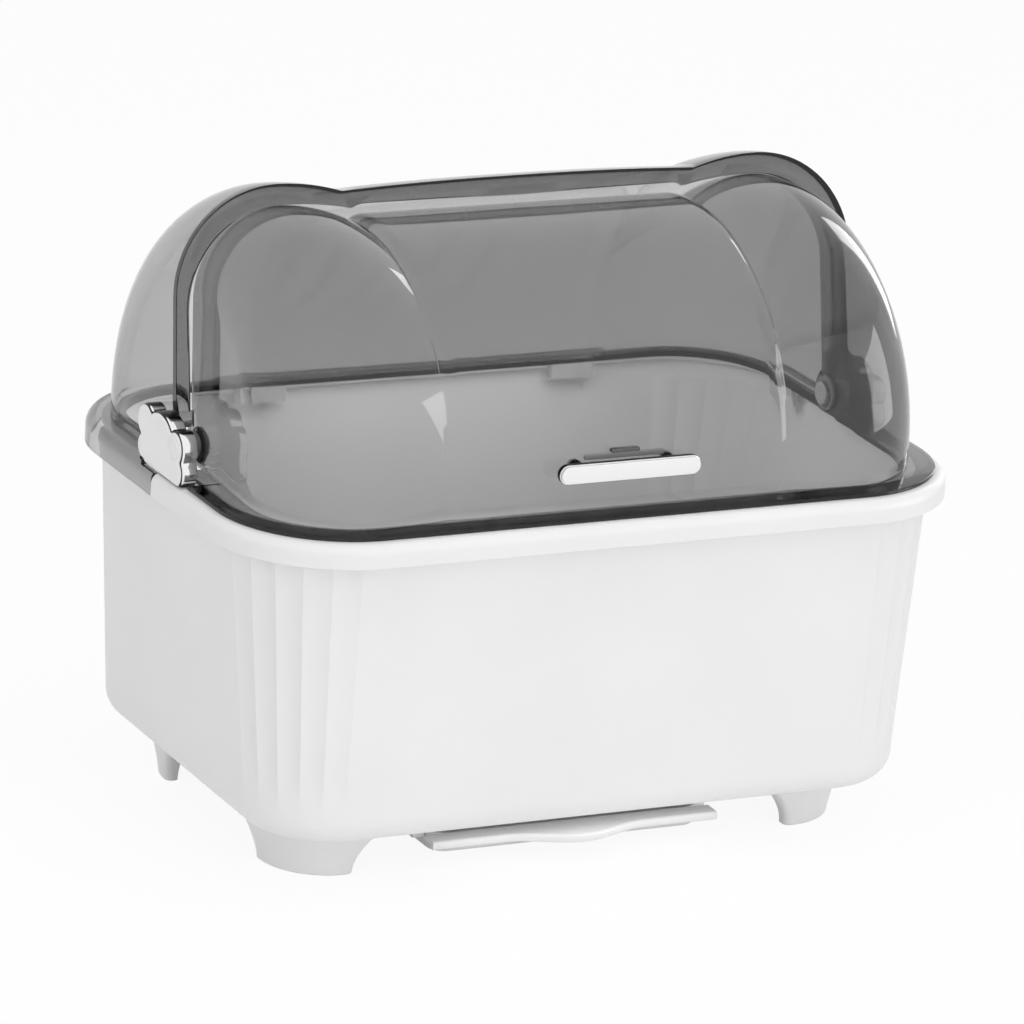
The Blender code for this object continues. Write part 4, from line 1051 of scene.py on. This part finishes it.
def make_tub(mat):
    """One skin: up the outside, over the ledge and down the inside. The outlet is cut at the end."""
    top = BAND_BOTTOM_Z - GAP
    fade = FOOT_HEIGHT + TUB_FILLET
    sections = []
    for k in range(9, -1, -1):
        turn = math.pi / 2 * k / 9
        sections.append((FOOT_HEIGHT + TUB_FILLET * (1 - math.sin(turn)), TUB_FILLET * (1 - math.cos(turn))))
    for k in range(1, 11):
        share = k / 10
        depth = FLUTE_DEPTH * share * share * (3 - 2 * share)
        sections.append((fade + FLUTE_FADE_HEIGHT * share, 0, depth))
    fade += FLUTE_FADE_HEIGHT
    sections += [(lerp(fade, top, k / 8), 0, FLUTE_DEPTH) for k in range(1, 9)]
    ledge = TUB_WALL + LEDGE_WIDTH
    ledge_z = TUB_TOP_Z - LEDGE_THICK
    sections += [
        (top + FLUTE_DEPTH, 0),
        (TUB_TOP_Z - TUB_RIM_BEVEL, 0),
        (TUB_TOP_Z, TUB_RIM_BEVEL),
        (TUB_TOP_Z, ledge - TUB_RIM_BEVEL),
        (TUB_TOP_Z - TUB_RIM_BEVEL, ledge),
        (ledge_z, ledge),
        (ledge_z - LEDGE_WIDTH / 2, TUB_WALL),
        (top, TUB_WALL),
    ]
    inner_top = top - FLUTE_DEPTH
    sections += [(lerp(inner_top, fade, k / 6), TUB_WALL, FLUTE_DEPTH) for k in range(7)]
    fillet = TUB_FILLET - TUB_WALL
    for turn in bevel_turns(8):
        z = FOOT_HEIGHT + TUB_WALL + fillet * (1 - math.sin(turn))
        sections.append((z, TUB_WALL + fillet * (1 - math.cos(turn))))
    bm = bmesh.new()
    loft(bm, [tub_section(*section) for section in sections])
    tub = finish_mesh(bm, "tub_shell")
    bm = bmesh.new()
    size = {"segments": OUTLET_STEPS, "radius1": OUTLET_R, "radius2": OUTLET_R, "depth": OUTLET_CUT}
    bmesh.ops.create_cone(bm, cap_ends=True, **size)
    bm.transform(Matrix.Translation((0, 0, FOOT_HEIGHT)))
    boolean(tub, finish_mesh(bm, "outlet", cutters), "DIFFERENCE")
    settle(tub, "base", mat, ["tub"], TUB_SHARP_DEG)


def make_band(mat):
    section = band_profile(BAND_OVERHANG - GAP, BAND_BOTTOM_Z, RIM_TOP_Z)
    band = half_ring("rim_band_moulding", section, True, COLLAR_FRONT_Y - GAP)
    cut_cap_pockets(band)
    settle(band, "base", mat, ["rim_band"])


FOOT_INSET_X, FOOT_INSET_Y = 0.046, 0.0465
FOOT_BEND_R = 0.0355
FOOT_BEND_X = HALF_WIDTH - FOOT_INSET_X - FOOT_BEND_R
FOOT_BEND_Y = HALF_DEPTH - FOOT_INSET_Y - FOOT_BEND_R
FOOT_WALL = 0.0066
FOOT_END_RUN = 0.0046
FOOT_END_R = 0.004
FOOT_SPREAD_OUT = 0.0062
FOOT_SPREAD_END = 0.0175
FOOT_OUT_POWER, FOOT_END_POWER = 1.3, 1.9
FOOT_BEVEL = 0.0013
FOOT_STEPS = 24
FOOT_END_STEPS = 5
FOOT_LEVELS = 14


def foot_outline(z, spread_out=0.0, spread_end=0.0, shrink=0.0):
    """A bent bar that follows the tub's corner, wider and longer by the two spreads."""
    outer = FOOT_BEND_R + spread_out - shrink
    inner = FOOT_BEND_R - FOOT_WALL + shrink
    run = FOOT_END_RUN + spread_end - shrink
    end = FOOT_END_R - shrink
    found = [(x, y - run + end) for x, y in arc(outer - end, 0, end, -90, 0, FOOT_END_STEPS)]
    found += arc(0, 0, outer, 0, 90, FOOT_STEPS)
    found += [(x - run + end, y) for x, y in arc(0, outer - end, end, 90, 180, FOOT_END_STEPS)]
    found += [(-run, inner)] + arc(0, 0, inner, 90, 0, FOOT_STEPS) + [(inner, -run)]
    return [(FOOT_BEND_X + x, FOOT_BEND_Y + y, z) for x, y in found]


def make_feet(mat):
    top = FOOT_HEIGHT - GAP
    outlines = []
    for turn in bevel_turns()[:-1]:
        z = FOOT_BEVEL * (1 - math.cos(turn))
        outlines.append(foot_outline(z, shrink=FOOT_BEVEL * (1 - math.sin(turn))))
    for k in range(FOOT_LEVELS + 1):
        share = k / FOOT_LEVELS
        out, end = FOOT_SPREAD_OUT * share**FOOT_OUT_POWER, FOOT_SPREAD_END * share**FOOT_END_POWER
        outlines.append(foot_outline(lerp(FOOT_BEVEL, top, share), out, end))
    for depth, place in ((-1, "front_"), (1, "rear_")):
        for side, tag in SIDES:
            bm = bmesh.new()
            loft(bm, [[(side * x, depth * y, z) for x, y, z in outline] for outline in outlines])
            foot = finish_mesh(bm, "foot_moulding_" + place + tag)
            settle(foot, "base", mat, ["foot_" + place + tag])


TRAY_HALF_X = 0.080
TRAY_FRONT_Y = -0.0915
TRAY_BACK_Y = 0.112
TRAY_TOP_Z = FOOT_HEIGHT - 0.0138
TRAY_DEPTH = 0.0105
TRAY_WALL = 0.0018
TRAY_CORNER_R = 0.010
TRAY_BEVEL = 0.0003
HANGER_REACH = 0.0045
HANGER_INSET = 0.010
LIP_HALF_X = 0.0849
LIP_REACH = 0.0103
LIP_WAVE_HALF_X = 0.042
LIP_WAVE_REACH = 0.011
LIP_HEIGHT = 0.0045
LIP_WALL = 0.002
LIP_NOSE_R = 0.0018
LIP_TOE_R = 0.0008
LIP_STEPS = 96


def tray_outline(inset, z):
    middle, half_y = (TRAY_FRONT_Y + TRAY_BACK_Y) / 2, (TRAY_BACK_Y - TRAY_FRONT_Y) / 2
    points = []
    for quarter, (sx, sy) in enumerate(QUARTERS):
        x, y = sx * (TRAY_HALF_X - TRAY_CORNER_R), middle + sy * (half_y - TRAY_CORNER_R)
        points += arc(x, y, TRAY_CORNER_R - inset, 90 * quarter, 90 * quarter + 90, 10)
    return [(x, y, z) for x, y in points]


def lip_section(x):
    reach = LIP_REACH
    if abs(x) < LIP_WAVE_HALF_X:
        reach += LIP_WAVE_REACH * (1 + math.cos(math.pi * x / LIP_WAVE_HALF_X)) / 2
    front, back = TRAY_FRONT_Y - reach, TRAY_FRONT_Y + TRAY_WALL / 2
    inside, foot = front + LIP_WALL, TRAY_TOP_Z - LIP_HEIGHT
    section = [(back, TRAY_TOP_Z)]
    section += arc(front + LIP_NOSE_R, TRAY_TOP_Z - LIP_NOSE_R, LIP_NOSE_R, 90, 180, 5)
    section += arc(front + LIP_TOE_R, foot + LIP_TOE_R, LIP_TOE_R, 180, 270, 3)
    section += [(inside, foot), (inside, TRAY_TOP_Z - LIP_WALL), (back, TRAY_TOP_Z - LIP_WALL)]
    return [(x, y, z) for y, z in section]


def make_tray(mat):
    """The pan as one skin, with a hanger at each side and the waved lip joined to it."""
    wall, bevel = TRAY_WALL, TRAY_BEVEL
    bottom_z = TRAY_TOP_Z - TRAY_DEPTH
    outlines = []
    for turn in bevel_turns():
        outlines.append(tray_outline(wall * (1 - math.sin(turn)), bottom_z + wall * (1 - math.cos(turn))))
    for inset, z in (
        (0, TRAY_TOP_Z - bevel),
        (bevel, TRAY_TOP_Z),
        (wall - bevel, TRAY_TOP_Z),
        (wall, TRAY_TOP_Z - bevel),
    ):
        outlines.append(tray_outline(inset, z))
    for turn in bevel_turns():
        inset = wall + wall * (1 - math.cos(turn))
        outlines.append(tray_outline(inset, bottom_z + 2 * wall - wall * math.sin(turn)))
    bm = bmesh.new()
    loft(bm, outlines)
    tray = finish_mesh(bm, "tray_pan")
    for side, _ in SIDES:
        near, far = sorted((side * (TRAY_HALF_X - wall / 2), side * (TRAY_HALF_X + HANGER_REACH)))
        low = (near, TRAY_FRONT_Y + HANGER_INSET, TRAY_TOP_Z - wall)
        high = (far, TRAY_BACK_Y - HANGER_INSET, TRAY_TOP_Z)
        boolean(tray, box("hanger", low, high), "UNION")
    bm = bmesh.new()
    loft(bm, [lip_section(lerp(-LIP_HALF_X, LIP_HALF_X, k / LIP_STEPS)) for k in range(LIP_STEPS + 1)])
    boolean(tray, finish_mesh(bm, "lip", cutters), "UNION")
    settle(tray, "drip_tray", mat, ["drip_tray"])


scene.view_settings.view_transform = "Standard"
add_camera()
add_world(0.62)
# The inside and tray lamps are small ones for what lies in the shade
add_light("key", (1.1, -2.6, 2.4), (0, 0, 0.15), 2.4, 14)
add_light("low", (0.4, -2.9, 0.75), (0, 0, 0.1), 2.2, 17, 0.6)
add_light("inside", (0, 0, 0.3), (0, 0.02, 0), 0.24, 0.56, 0.12)
add_light("tray", (0, -0.113, 0.0275), (0, -0.114, 0), 0.17, 0.008, 0.016)
add_light("fill", (-2.6, -0.8, 1.6), (0, 0, 0.15), 2.0, 12)
add_light("top", (0.2, -0.5, 3.0), (0, 0.1, 0.1), 1.6, 18)
add_light("edge", (2.2, 1.3, 0.9), (0, 0, 0.25), 0.5, 9, 1.6, mirrored=True)
add_light("side", (2.6, -1.3, 0.55), (0, 0, 0.25), 1.6, 34, 2.0, mirrored=True)
add_floor()

white = plastic("white_plastic", (0.80, 0.80, 0.80), (0.775, 0.775, 0.775), 0.36, 0.46, 900, 0.12)
gloss = plastic("white_gloss_plastic", (0.82, 0.82, 0.82), (0.80, 0.80, 0.80), 0.16, 0.22, 900, 0.03)
nylon = plastic("grey_nylon", (0.60, 0.60, 0.60), (0.57, 0.57, 0.57), 0.42, 0.52, 1100, 0.15)
dark_nylon = plastic("dark_nylon", (0.20, 0.20, 0.20), (0.18, 0.18, 0.18), 0.42, 0.52, 1100, 0.15)
# Chrome's last colour is a painted dark reflection where it turns away from the eye
chrome = metal("chrome", (0.86, 0.86, 0.87), 0.03, 0.07, (1, 1, 1), 0.01, (0.03, 0.03, 0.03))
steel = metal("steel", (0.58, 0.58, 0.60), 0.22, 0.36, (1, 8, 8), 0.05)
dark_smoke = smoke("smoke", 0.545, 180)
light_smoke = smoke("smoke_light", 1.0, 200)

# Only the CAD nodes that no piece replaces are seen
for name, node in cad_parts.items():
    if "post" in name or "bridge" in name:
        mat = chrome
    elif "pin" in name or "screw" in name:
        mat = steel
    elif "bush" in name or "washer" in name:
        mat = dark_nylon
    elif "clip" in name or "plate" in name:
        mat = nylon
    elif name in ("rear_cover", "front_cover"):
        mat = light_smoke
    else:
        mat = white
    node.data.materials.clear()
    node.data.materials.append(mat)

make_tub(white)
make_band(white)
make_feet(white)
make_tray(white)
make_rear_cover(light_smoke)
make_front_cover(dark_smoke)
make_caps(chrome, gloss)
make_handle(chrome, gloss, dark_nylon, dark_smoke)
